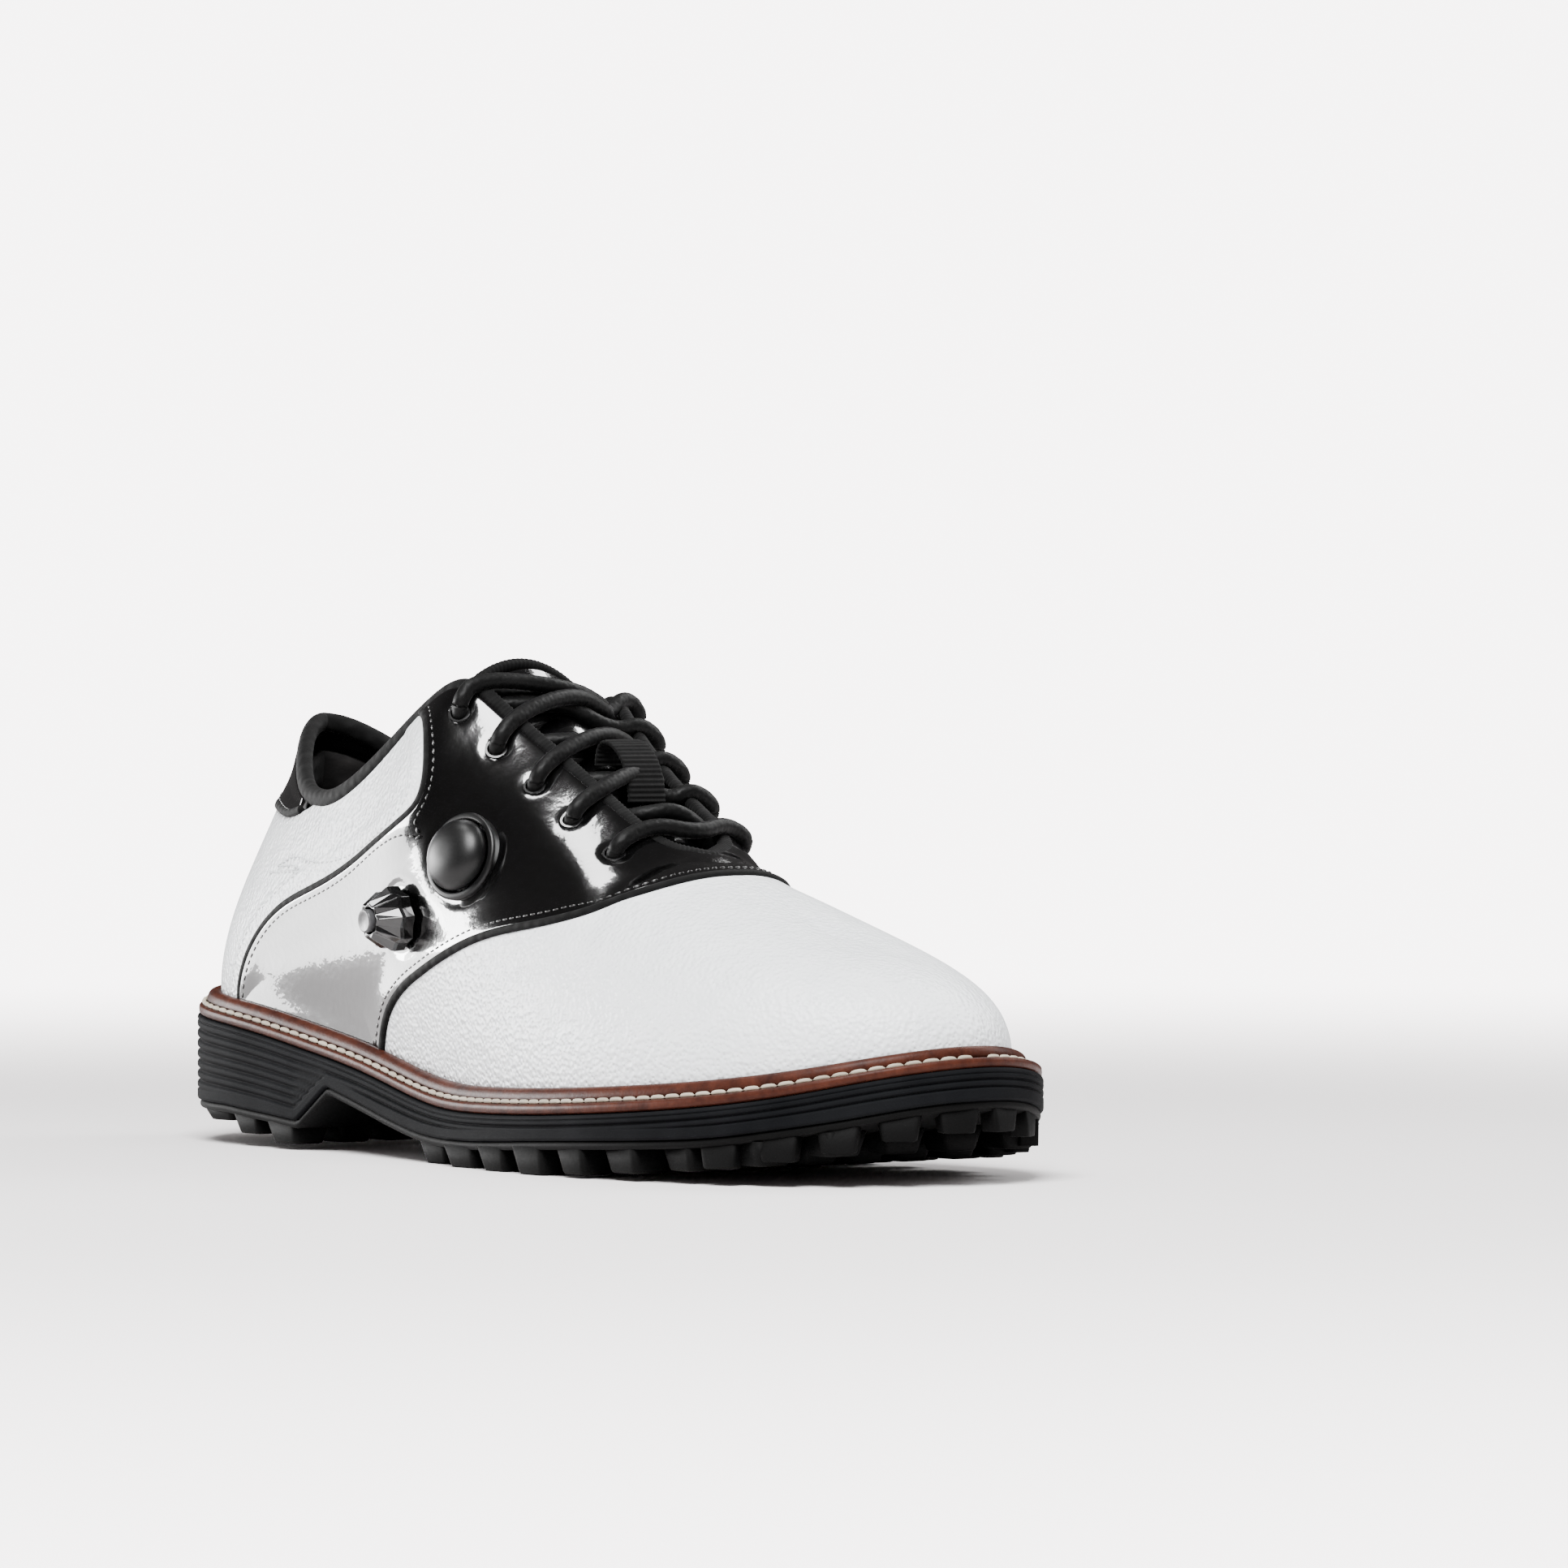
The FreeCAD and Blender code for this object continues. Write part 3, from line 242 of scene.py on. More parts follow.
def normal(side, u, v):
    """Outward normal. Where both sides meet, it is shared by them."""
    u, v = np.broadcast_arrays(np.asarray(u, float), np.asarray(v, float))
    u = np.maximum(u, 1e-3)
    ends = ((u <= 1e-3) | (u >= 1))[..., None]
    ridge = ((v >= 1 - 1e-6) & (u <= THROAT + 1e-6))[..., None]
    n = one_side_normal(side, u, v)
    both = n + one_side_normal(-side, u, v)
    both = np.where(ends, both * [1, 0, 1], both)
    return np.where(ends | ridge, unit(both), n)


def level_to_v(u, w):
    return w - level(u) * w * (1 - w)


def v_to_level(u, v):
    k = max(float(level(u)), 1e-6)
    return (math.sqrt((1 - k) ** 2 + 4 * k * v) - (1 - k)) / (2 * k)


def seam(points):
    fu = spline(SEAM_T, [p[0] for p in points])
    fw = spline(SEAM_T, [v_to_level(*p) for p in points])
    return lambda t: (fu(t), fw(t))


vamp_seam, quarter_seam = seam(VAMP_SEAM), seam(QUARTER_SEAM)


def trimmed(u, v):
    return v * (1 - (1 - leather_top(u)) * v ** 6)


def vamp_place(s, t):
    u, w = vamp_seam(t)
    u = (u - SEAM_GAP) * s
    return u, level_to_v(u, t + (w - t) * s)


def saddle_place(s, t):
    (u0, w0), (u1, w1) = vamp_seam(t), quarter_seam(t)
    u = u0 + SEAM_GAP + (u1 - u0 - 2 * SEAM_GAP) * s
    return u, trimmed(u, level_to_v(u, w0 + (w1 - w0) * s))


def quarter_place(s, t):
    u0, w0 = quarter_seam(t)
    u = u0 + SEAM_GAP + (1 - u0 - SEAM_GAP) * s
    return u, trimmed(u, level_to_v(u, w0 + (t ** .7 - w0) * s)) * quarter_top(u)


def tab_place(s, t):
    u = .835 + (1 - .835) * s
    low = quarter_top(u) * leather_top(u) + 0.006
    return u, low + (leather_top(u) - low) * t


# ---- materials ----------------------------------------------------------------------------
class Shader:
    """A small helper that adds nodes to one material."""

    def __init__(self, name, **values):
        self.material = bpy.data.materials.new(name)
        self.material.use_nodes = True
        self.nodes = self.material.node_tree.nodes
        self.links = self.material.node_tree.links
        self.bsdf = self.nodes["Principled BSDF"]
        for key, value in values.items():
            self.bsdf.inputs[key.replace("_", " ")].default_value = value
        self.place = self.nodes.new("ShaderNodeTexCoord")

    def texture(self, kind, coordinates="Object", **values):
        node = self.nodes.new(kind)
        for key, value in values.items():
            if key in node.inputs:
                node.inputs[key].default_value = value
            else:
                setattr(node, key, value)
        self.links.new(self.place.outputs[coordinates], node.inputs["Vector"])
        return node

    def between(self, source, low, high, start=0.3, end=0.7):
        """A colour ramp driven by a texture."""
        node = self.nodes.new("ShaderNodeValToRGB")
        node.color_ramp.elements[0].position = start
        node.color_ramp.elements[1].position = end
        node.color_ramp.elements[0].color = (*low, 1)
        node.color_ramp.elements[1].color = (*high, 1)
        self.links.new(source, node.inputs["Fac"])
        return node.outputs["Color"]

    def scaled(self, source, low, high):
        node = self.nodes.new("ShaderNodeMapRange")
        node.inputs["To Min"].default_value = low
        node.inputs["To Max"].default_value = high
        self.links.new(source, node.inputs["Value"])
        return node.outputs["Result"]

    def combined(self, a, b, operation="ADD"):
        node = self.nodes.new("ShaderNodeMath")
        node.operation = operation
        self.links.new(a, node.inputs[0])
        self.links.new(b, node.inputs[1])
        return node.outputs[0]

    def bump(self, source, strength, height_mm):
        node = self.nodes.new("ShaderNodeBump")
        node.inputs["Strength"].default_value = strength
        node.inputs["Distance"].default_value = height_mm * MM
        self.links.new(source, node.inputs["Height"])
        self.links.new(node.outputs["Normal"], self.bsdf.inputs["Normal"])

    def drive(self, source, socket):
        self.links.new(source, self.bsdf.inputs[socket])


def grain(pitch_mm):
    """Texture scale for a pattern of that pitch."""
    return 1 / (pitch_mm * MM)


def white_leather():
    m = Shader("white_leather", Specular_IOR_Level=0.45)
    cells = m.texture("ShaderNodeTexVoronoi", Scale=grain(1.1), feature="SMOOTH_F1")
    soft = m.texture("ShaderNodeTexNoise", Scale=grain(9), Detail=3.0)
    m.drive(m.between(soft.outputs["Fac"], (.76, .79, .81), (.82, .845, .86)), "Base Color")
    m.drive(m.scaled(soft.outputs["Fac"], .34, .48), "Roughness")
    m.bump(m.combined(cells.outputs["Distance"], soft.outputs["Fac"]), .9, .5)
    return m.material


def patent_leather():
    m = Shader("patent_leather", Coat_Weight=1.0, Coat_Roughness=.025, Coat_IOR=1.55, Specular_IOR_Level=.55)
    ripple = m.texture("ShaderNodeTexNoise", Scale=grain(2.4), Detail=2.0)
    where = m.texture("ShaderNodeTexNoise", Scale=grain(30), Detail=1.0)
    m.drive(m.between(ripple.outputs["Fac"], (.0005, .0005, .0005), (.0010, .0010, .0011)), "Base Color")
    m.drive(m.scaled(where.outputs["Fac"], .10, .2), "Roughness")
    m.bump(m.combined(ripple.outputs["Fac"], where.outputs["Fac"], "MULTIPLY"), .3, .3)
    bump = m.bsdf.inputs["Normal"].links[0].from_socket
    m.links.new(bump, m.bsdf.inputs["Coat Normal"])
    return m.material


def woven(name, dark, light, pitch, roughness=.8, coordinates="Object", depth=.25, sheen=.03):
    """Woven or knitted cloth: two crossed sets of threads."""
    m = Shader(name, Sheen_Weight=sheen, Sheen_Roughness=.5, Specular_IOR_Level=.12)
    warp = m.texture("ShaderNodeTexWave", coordinates, Scale=grain(pitch) / 20, Distortion=.6,
                     bands_direction="X")
    weft = m.texture("ShaderNodeTexWave", coordinates, Scale=grain(pitch) / 20, Distortion=.6,
                     bands_direction="Z")
    threads = m.combined(warp.outputs["Fac"], weft.outputs["Fac"], "MULTIPLY")
    fuzz = m.texture("ShaderNodeTexNoise", Scale=grain(2), Detail=4.0)
    m.drive(m.between(threads, dark, light, 0, 1), "Base Color")
    m.drive(m.scaled(fuzz.outputs["Fac"], roughness - .08, roughness + .08), "Roughness")
    m.bump(m.combined(threads, fuzz.outputs["Fac"]), .6, depth)
    return m.material


def moulded(name, dark, light, roughness, pitch, depth, coat, gloss):
    """Moulded rubber, plastic, board, cork and the like: a fine even grain."""
    m = Shader(name, Coat_Weight=coat, Coat_Roughness=.08, Specular_IOR_Level=gloss)
    fine = m.texture("ShaderNodeTexNoise", Scale=grain(pitch), Detail=3.0)
    broad = m.texture("ShaderNodeTexNoise", Scale=grain(14), Detail=2.0)
    m.drive(m.between(broad.outputs["Fac"], dark, light), "Base Color")
    m.drive(m.scaled(fine.outputs["Fac"], roughness - .06, roughness + .06), "Roughness")
    m.bump(fine.outputs["Fac"], .4, depth)
    return m.material


def brown_welt():
    m = Shader("welt_brown", Coat_Weight=.03, Coat_Roughness=.3, Specular_IOR_Level=.08)
    streaks = m.texture("ShaderNodeTexNoise", Scale=grain(5), Detail=5.0, Roughness=.65)
    pores = m.texture("ShaderNodeTexNoise", Scale=grain(.7), Detail=2.0)
    m.drive(m.between(streaks.outputs["Fac"], (.020, .0046, .0027), (.058, .0155, .0082)), "Base Color")
    m.drive(m.scaled(pores.outputs["Fac"], .38, .55), "Roughness")
    m.bump(m.combined(streaks.outputs["Fac"], pores.outputs["Fac"]), .4, .18)
    return m.material


def brushed_steel():
    m = Shader("steel", Metallic=1.0)
    lines = m.texture("ShaderNodeTexNoise", Scale=grain(.8), Detail=2.0)
    m.drive(m.between(lines.outputs["Fac"], (.5, .5, .52), (.64, .64, .66)), "Base Color")
    m.drive(m.scaled(lines.outputs["Fac"], .25, .4), "Roughness")
    m.bump(lines.outputs["Fac"], .2, .03)
    return m.material


def floor_material():
    """Pale card that fades out with distance from the shoe, so that no horizon shows."""
    m = Shader("floor", Roughness=.8, Specular_IOR_Level=.15)
    clouds = m.texture("ShaderNodeTexNoise", Scale=3.0, Detail=2.0)
    m.drive(m.between(clouds.outputs["Fac"], (.86, .835, .835), (.87, .845, .845)), "Base Color")
    length = m.nodes.new("ShaderNodeVectorMath")
    length.operation = "LENGTH"
    m.links.new(m.place.outputs["Object"], length.inputs[0])
    fade = m.nodes.new("ShaderNodeMapRange")
    fade.interpolation_type = "SMOOTHSTEP"
    fade.inputs["From Min"].default_value = .3
    fade.inputs["From Max"].default_value = 1.3
    fade.inputs["To Min"].default_value = 1
    fade.inputs["To Max"].default_value = 0
    m.links.new(length.outputs["Value"], fade.inputs["Value"])
    m.drive(fade.outputs["Result"], "Alpha")
    return m.material


# Each look: dark and light colour, roughness, pitch and depth of the grain, coat, gloss.
MOULDED = {
    "rubber": ((.0012, .0012, .0012), (.0026, .0026, .0026), .65, .8, .08, 0, .06),
    "midsole_foam": ((.0026, .0029, .0035), (.0052, .0056, .0064), .75, .5, .08, 0, .04),
    "bulb_rubber": ((.0012, .0012, .0013), (.0018, .0018, .0019), .4, .4, .02, 0, .32),
    "gloss_plastic": ((.0015, .0015, .0015), (.003, .003, .0032), .22, 2, .02, .6, .5),
    "grey_plastic": ((.035, .035, .037), (.055, .055, .057), .35, .6, .03, 0, .5),
    "board": ((.36, .28, .18), (.46, .37, .25), .8, 1, .1, 0, .5),
    "cork": ((.42, .27, .15), (.55, .38, .23), .85, 1.4, .2, 0, .5),
    "film": ((.7, .7, .68), (.78, .78, .76), .3, 3, .03, 0, .5),
    "foam": ((.44, .44, .42), (.55, .55, .52), .9, .6, .2, 0, .5),
    "thread": ((.26, .22, .165), (.42, .37, .29), .7, .5, .12, 0, .5),
    "white_thread": ((.55, .57, .58), (.68, .7, .71), .6, .5, .1, 0, .5),
    "black_thread": ((.004, .004, .004), (.012, .012, .012), .3, .5, .1, .6, .5),
}


def make_materials():
    return {
        "white_leather": white_leather(),
        "patent_leather": patent_leather(),
        "welt_brown": brown_welt(),
        "steel": brushed_steel(),
        **{name: moulded(name, *look) for name, look in MOULDED.items()},
        "black_fabric": woven("black_fabric", (.0006, .0006, .0006), (.0030, .0030, .0030), .55),
        "lining_fabric": woven("lining_fabric", (.0015, .0012, .0012), (.0065, .0058, .0056), .9, depth=.35),
        "lace_cord": woven("lace_cord", (.0004, .0004, .0004), (.0020, .0020, .0020), .7, .5, depth=.2),
    }


materials = make_materials()


# ---- meshes --------------------------------------------------------------------------------
def add_mesh(name, points, faces, slot, body="shoe", look=None, smooth=True, weld=True, replaces=()):
    """A piece from points in millimetres, welded, with its normals outward."""
    mesh = bpy.data.meshes.new(name)
    mesh.from_pydata((np.asarray(points, float) * MM).tolist(), [], faces)
    bm = bmesh.new()
    bm.from_mesh(mesh)
    if weld:
        bmesh.ops.remove_doubles(bm, verts=bm.verts, dist=0.004 * MM)
        bmesh.ops.dissolve_degenerate(bm, edges=bm.edges, dist=0.001 * MM)
    bmesh.ops.recalc_face_normals(bm, faces=bm.faces)
    bm.to_mesh(mesh)
    bm.free()
    mesh.materials.append(materials[look or slot])
    mesh.shade_smooth() if smooth else mesh.shade_flat()
    piece = bpy.data.objects.new(name, mesh)
    bpy.context.scene.collection.objects.link(piece)
    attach(piece, body)
    if replaces:
        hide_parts(*replaces)
    return piece


def grid_faces(rows, columns, start=0, wrap_rows=False, wrap_columns=False, flip=False):
    i = np.arange(rows if wrap_rows else rows - 1)[:, None]
    j = np.arange(columns if wrap_columns else columns - 1)[None, :]
    ii, jj = (i + 1) % rows, (j + 1) % columns
    corners = [i * columns + j, ii * columns + j, ii * columns + jj, i * columns + jj]
    if flip:
        corners.reverse()
    stack = np.stack([c + 0 * i + 0 * j for c in corners], -1).reshape(-1, 4) + start
    return stack.tolist()


def crowded(n, start=0.0, end=1.0, pull=0.8):
    """Samples from start to end, closer together near both ends."""
    x = np.linspace(0, 1, n)
    return start + (end - start) * (x - pull * np.sin(2 * math.pi * x) / (2 * math.pi))


def distance_to(points, line):
    """Distance of each point of a grid from the nearest point of a line."""
    tree = KDTree(len(line))
    for k, p in enumerate(line):
        tree.insert(p, k)
    tree.balance()
    flat = points.reshape(-1, 3)
    return np.array([tree.find(p)[2] for p in flat]).reshape(points.shape[:-1])


def rolled(distance, radius):
    """How far a rolled edge has dropped, from 1 at the edge to 0 at its radius."""
    x = np.clip(distance / radius, 0, 1)
    return 1 - np.sqrt(np.clip(1 - (1 - x) ** 2, 0, 1))


def sheet_piece(name, patches, edges, slot, depths=(0, LEATHER), roll=1.0, lift=None, **more):
    """A closed sheet with rolled edges.

    patches hold (side, points, normals, u, v), and edges holds the lines of its free edges.
    """
    verts, faces = [], []
    start = 0
    line = np.concatenate(edges)
    for patch in patches:
        _, p, n, _, _ = patch
        d = distance_to(p, line)
        outer = depths[0] + (depths[1] - depths[0]) * rolled(d, roll)
        if lift is not None:
            outer = outer - lift(patch, d) * (1 - rolled(d, roll))
        for depth in (outer, np.full_like(d, depths[1])):
            verts.append((p - n * depth[..., None]).reshape(-1, 3))
            faces += grid_faces(*d.shape, start)
            start += d.size
    return add_mesh(name, np.concatenate(verts), faces, slot, **more)


def patch(side, place, ss, ts):
    s, t = np.meshgrid(ss, ts, indexing="ij")
    u, v = place(s, t)
    u, v = np.broadcast_arrays(u, v)
    return side, surface(side, u, v), normal(side, u, v), u, v


def edge_line(side, place, ss, ts):
    """A line of points on the surface, where one of s and t may be a single number."""
    u, v = place(np.asarray(ss, float), np.asarray(ts, float))
    return surface(side, u, v)


def swept(path, normals, section, closed=False):
    """Rings of points: section is (across, out) for each corner, or one such list for each ring."""
    tangent = np.roll(path, -1, 0) - np.roll(path, 1, 0) if closed else np.gradient(path, axis=0)
    tangent = unit(tangent)
    out = unit(normals - tangent * dot(normals, tangent))
    across = np.cross(tangent, out)
    section = np.asarray(section, float)
    if section.ndim == 2:
        section = np.broadcast_to(section, (len(path), *section.shape))
    return path[:, None] + across[:, None] * section[..., :1] + out[:, None] * section[..., 1:]


def tube_piece(name, rings, slot, closed=False, **more):
    n, k = rings.shape[:2]
    faces = grid_faces(n, k, wrap_rows=closed, wrap_columns=True)
    if not closed:
        faces += [list(range(k)), list(range((n - 1) * k, n * k))[::-1]]
    return add_mesh(name, rings.reshape(-1, 3), faces, slot, **more)


def resample(path, step, *others):
    """Even steps along a line of points, and the same for what goes with them."""
    length = np.concatenate([[0], np.cumsum(np.linalg.norm(np.diff(path, axis=0), axis=1))])
    at = np.linspace(0, length[-1], max(3, int(length[-1] / step) + 1))
    found = [np.stack([np.interp(at, length, a[:, k]) for k in range(3)], -1) for a in (path, *others)]
    return (at, *found)


def oval(wide, tall, n=20, power=1.0, shift=0.0):
    w = np.linspace(0, 2 * math.pi, n, endpoint=False)
    c, s = np.cos(w), np.sin(w)
    return np.stack([wide * np.sign(c) * abs(c) ** power, shift + tall * np.sign(s) * abs(s) ** power], -1)


def stitch_rows(name, rows, slot, look, pitch=2.6, length=1.9, radius=0.26, sink=0.1):
    """Rows of single stitches. Each row is (path, normals) on the leather."""
    template = []
    for x in np.linspace(-1, 1, 7):
        fat = radius * math.sqrt(max(1 - x ** 4, .02))
        for w in np.linspace(0, 2 * math.pi, 6, endpoint=False):
            rise_up = radius * .5 - sink - 0.35 * radius * x * x
            template.append((x * length / 2, fat * math.cos(w), rise_up + fat * math.sin(w)))
    template = np.array(template)
    verts, faces = [], []
    for path, normals in rows:
        _, p, n = resample(path, pitch, normals)
        tangent = unit(np.gradient(p, axis=0))
        out = unit(n - tangent * dot(n, tangent))
        across = np.cross(tangent, out)
        for k in range(1, len(p) - 1):
            start = len(verts) * len(template)
            axes = np.stack([tangent[k], across[k], out[k]])
            verts.append(p[k] + template @ axes)
            faces += grid_faces(7, 6, start, wrap_columns=True)
            faces += [list(range(start, start + 6)), list(range(start + 36, start + 42))[::-1]]
    return add_mesh(name, np.concatenate(verts), faces, slot, look=look, weld=False)


def beside_seam(side, place, at_end, inset, ts, height=0.0):
    """A line a given distance inside a panel's seam, with its normals."""
    s0 = 1.0 if at_end else 0.0
    inward = -1e-3 if at_end else 1e-3
    here = edge_line(side, place, s0, ts)
    step = (edge_line(side, place, s0 + inward, ts) - here) / abs(inward)
    tangent = unit(np.gradient(here, axis=0))
    reach = np.linalg.norm(step - tangent * dot(step, tangent), axis=1)
    s = s0 + math.copysign(1, inward) * np.clip(inset / reach, 0, .5)
    u, v = place(s, ts)
    n = normal(side, u, v)
    return surface(side, u, v) + n * height, n


def joined(first, second):
    """Two lines end to end, the second one reversed."""
    return tuple(np.concatenate([a, b[::-1][1:]]) for a, b in zip(first, second))


# ---- sole ------------------------------------------------------------------------------------
def loop_of(function, n=250):
    """Points round the sole: the outer side from toe to heel, then the inner side back."""
    u = crowded(n, pull=0.5)
    return np.concatenate([function(-1, u)[:-1], function(1, u)[:0:-1]])


def solid_between_rows(name, rows, slot, cap_top, cap_bottom, **more):
    """A closed body from rings round the sole, top first. The caps give z for a point inside."""
    count, around = len(rows), len(rows[0])
    faces = grid_faces(count, around, wrap_columns=True)
    verts = [np.concatenate(rows)]
    start = count * around
    half = around // 2
    for ring, height in ((rows[0], cap_top), (rows[-1], cap_bottom)):
        outer = ring[:half + 1]
        inner = np.concatenate([ring[:1], ring[:half - 1:-1]])
        across = np.linspace(0, 1, 9)[None, :, None]
        inside = outer[:, None] * (1 - across) + inner[:, None] * across
        inside[:, 1:-1, 2] = height(inside[:, 1:-1, 0])
        verts.append(inside.reshape(-1, 3))
        faces += grid_faces(half + 1, 9, start)
        start += inside[..., 0].size
    return add_mesh(name, np.concatenate(verts), faces, slot, **more)


def make_midsole():
    """A wall of moulded grooves above a smooth lower lip."""
    pitch = ramp([-150, -60, 0, 150], [2.75, 2.3, 1.65, 1.8])
    lip, shoulder = 2.6, 0.9
    bottom = PLATE_THICK + 0.1

    def row(fraction):
        def at(side, u):
            x, _ = edge(side, u)
            high, low = top_z(x), under_z(x) + bottom
            z = high + (low - high) * fraction
            below = high - z - shoulder
            groove = .75 * np.abs(np.cos(math.pi * below / pitch(x))) ** 5
            fade = np.clip((z - low - lip) / .5, 0, 1) * np.clip(below / .4, 0, 1)
            round_off = .7 * rolled(np.minimum(high - z, z - low), .8)
            p = on_sole(side, u, groove * fade + round_off, 0)
            p[..., 2] = z
            return p
        return loop_of(at, 300)
    rows = [row(k) for k in crowded(110, pull=.35)]
    return solid_between_rows("midsole_body", rows, "midsole_foam", top_z, lambda x: under_z(x) + bottom,
                              replaces=["midsole"])


def make_outsole():
    def row(angle):
        def at(side, u):
            x, _ = edge(side, u)
            p = on_sole(side, u, 1.6 - .9 * math.sin(angle), 0)
            p[..., 2] = under_z(x) + PLATE_THICK / 2 + (PLATE_THICK / 2) * math.cos(angle)
            return p
        return loop_of(at)
    rows = [row(a) for a in np.linspace(0, math.pi, 9)]
    return solid_between_rows("outsole_plate", rows, "rubber", lambda x: under_z(x) + PLATE_THICK, under_z,
                              replaces=["outsole"])


def half_width(side, x):
    u = np.linspace(0, 1, 2000)
    ex, ey = edge(side, u)
    return float(np.interp(-x, -ex, ey))


def tread_block(x, y, length, width, turn_by=0.0, climb=0.0):
    """Rings of one bevelled block, plate side first. It may reach up over the sole's wall."""
    top, bottom = float(under_z(x)) + .8 + climb, float(lug_bottom(x))
    rings = []
    for z, grow in ((top, 1.7), (bottom + .7, .3), (bottom + .15, 0), (bottom, -.55)):
        shape = oval(length / 2 + grow, width / 2 + (0 if climb else grow), 24, .3)
        c, s = math.cos(turn_by), math.sin(turn_by)
        shape = shape @ np.array([[c, s], [-s, c]])
        rings.append(np.concatenate([shape + [x, y], np.full((24, 1), z)], axis=1))
    return np.array(rings)


def make_lugs():
    """Rows of tread blocks, and the blocks that wrap up over the toe."""
    blocks = []
    for row, x in enumerate(LUG_ROWS):
        outer_x = x - math.copysign(5, -x)
        low, high = half_width(-1, outer_x) + LUG_MARGIN, half_width(1, outer_x) - LUG_MARGIN
        count = max(2, round((high - low) / LUG_SPACING) + 1)
        for y in np.linspace(low, high, count):
            blocks.append(tread_block(x, y, 10.0 if row % 2 else 8.5, LUG_WIDTH))
    for side in (-1, 1):
        for u in TOE_BLOCKS:
            p, q = on_sole(side, np.array([u, u + .01]), TOE_BLOCK_INSET, 0)
            heading = math.atan2(q[1] - p[1], q[0] - p[0])
            blocks.append(tread_block(p[0], p[1], 8.0, 5.0, heading, climb=TOE_BLOCK_CLIMB))
    verts, faces = [], []
    for k, rings in enumerate(blocks):
        start = k * 96
        verts.append(rings.reshape(-1, 3))
        faces += grid_faces(4, 24, start, wrap_columns=True)
        faces += [list(range(start, start + 24)), list(range(start + 72, start + 96))[::-1]]
    return add_mesh("tread_blocks", np.concatenate(verts), faces, "rubber", weld=False)


def band_round(name, corners, slot, **more):
    """A closed band round the sole. corners(side, u) lists (inset, height) pairs."""
    rows = [loop_of(lambda side, u, k=k: on_sole(side, u, *corners(side, u)[k]), 240)
            for k in range(len(corners(1, 0.5)))]
    rings = np.stack(rows, axis=1)
    return tube_piece(name, rings, slot, closed=True, **more)


def make_welts():
    strip = oval(1.0, 1.0, 24, .45)
    bead = oval(1.0, 1.0, 20, .8)

    def strip_corners(_, u):
        deep = upper_inset(u) + WELT_WIDTH
        half, middle = (deep - .4) / 2, (deep + .4) / 2
        return [(middle - half * a, .1 + (WELT_THICK - .1) * (b + 1) / 2) for a, b in strip]

    def bead_corners(_, u):
        k = upper_inset(u)
        return [(k - 2.0 - 1.75 * a + .5 * b, 4.85 + 1.85 * b) for a, b in bead]
    band_round("welt_strip", strip_corners, "welt_brown", replaces=["welt"])
    band_round("welt_bead", bead_corners, "welt_brown", replaces=["storm_welt"])


def make_welt_stitches():
    rows = []
    for side in (-1, 1):
        u = np.linspace(0, 1, 200)
        path = on_sole(side, u, upper_inset(u) - 4.7, WELT_THICK + .25)
        rows.append((path, np.broadcast_to([0, 0, 1.0], path.shape)))
    piece = stitch_rows("welt_lockstitch", rows, "thread", "thread", pitch=4.4, length=4.3, radius=.62)
    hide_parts("welt_stitches")


def make_insole():
    """The sock liner, cupped up at its edge."""
    u = np.linspace(0, 1, 90)
    outer, inner = on_sole(-1, u, 14.2, 0), on_sole(1, u, 14.2, 0)
    a = np.linspace(0, 1, 25)[None, :, None]
    top = outer[:, None] * (1 - a) + inner[:, None] * a
    near = np.minimum(a[..., 0], 1 - a[..., 0]) * np.linalg.norm(inner - outer, axis=1)[:, None]
    base = top_z(top[..., 0])
    top[..., 2] = base + 8.2 + .8 * np.exp(-near / 5) - 1.2 * rolled(near, 1.2)
    low = top.copy()
    low[..., 2] = base + 5.6
    verts = np.concatenate([top.reshape(-1, 3), low.reshape(-1, 3)])
    size = top[..., 0].size
    faces = grid_faces(90, 25) + grid_faces(90, 25, size)
    for column in (0, 24):
        for k in range(89):
            i, j = k * 25 + column, (k + 1) * 25 + column
            faces.append([i, j, j + size, i + size])
    add_mesh("sock_liner", verts, faces, "lining_fabric", replaces=["sockliner"])


# ---- upper -------------------------------------------------------------------------------------
def both_sides(place, ss, ts):
    return [patch(side, place, ss, ts) for side in (-1, 1)]


def creases(patch_data):
    """Faint folds in the leather where the foot bends."""
    _, p, _, _, _ = patch_data
    x, y, z = p[..., 0], p[..., 1], p[..., 2]
    where = np.exp(-((x - 62) / 22) ** 2) * np.exp(-((z - 34) / 16) ** 2)
    return .10 * where * np.sin(x * .9 + z * .35 + 1.5 * np.sin(y * .12))


def make_vamp():
    ts = crowded(110, pull=.6)
    ss = crowded(150, pull=.5)
    free = [edge_line(side, vamp_place, 1, np.linspace(0, 1, 500)) for side in (-1, 1)]
    free += [edge_line(side, vamp_place, np.linspace(0, 1, 500), 0) for side in (-1, 1)]
    sheet_piece("vamp_leather", both_sides(vamp_place, ss, ts), free, "white_leather",
                lift=lambda q, d: creases(q), replaces=["vamp"])


def seat_depth(side, p):
    """Dimples in the saddle at the eyelets, and below the bulb and the valve."""
    depth = np.zeros(p.shape[:-1])
    for place in EYELETS:
        r = np.linalg.norm(p - surface(side, *place), axis=-1)
        depth += 1.9 * np.clip((2.7 - r) / 1.0, 0, 1) + .2 * np.exp(-((r - 2.9) / 1.2) ** 2)
    if side < 0:
        for place, radius in ((BULB_AT, 11.6), (VALVE_AT, 8.4)):
            r = np.linalg.norm(p - surface(side, *place), axis=-1)
            depth += .4 * np.exp(-((r - radius) / 1.6) ** 2)
    return depth


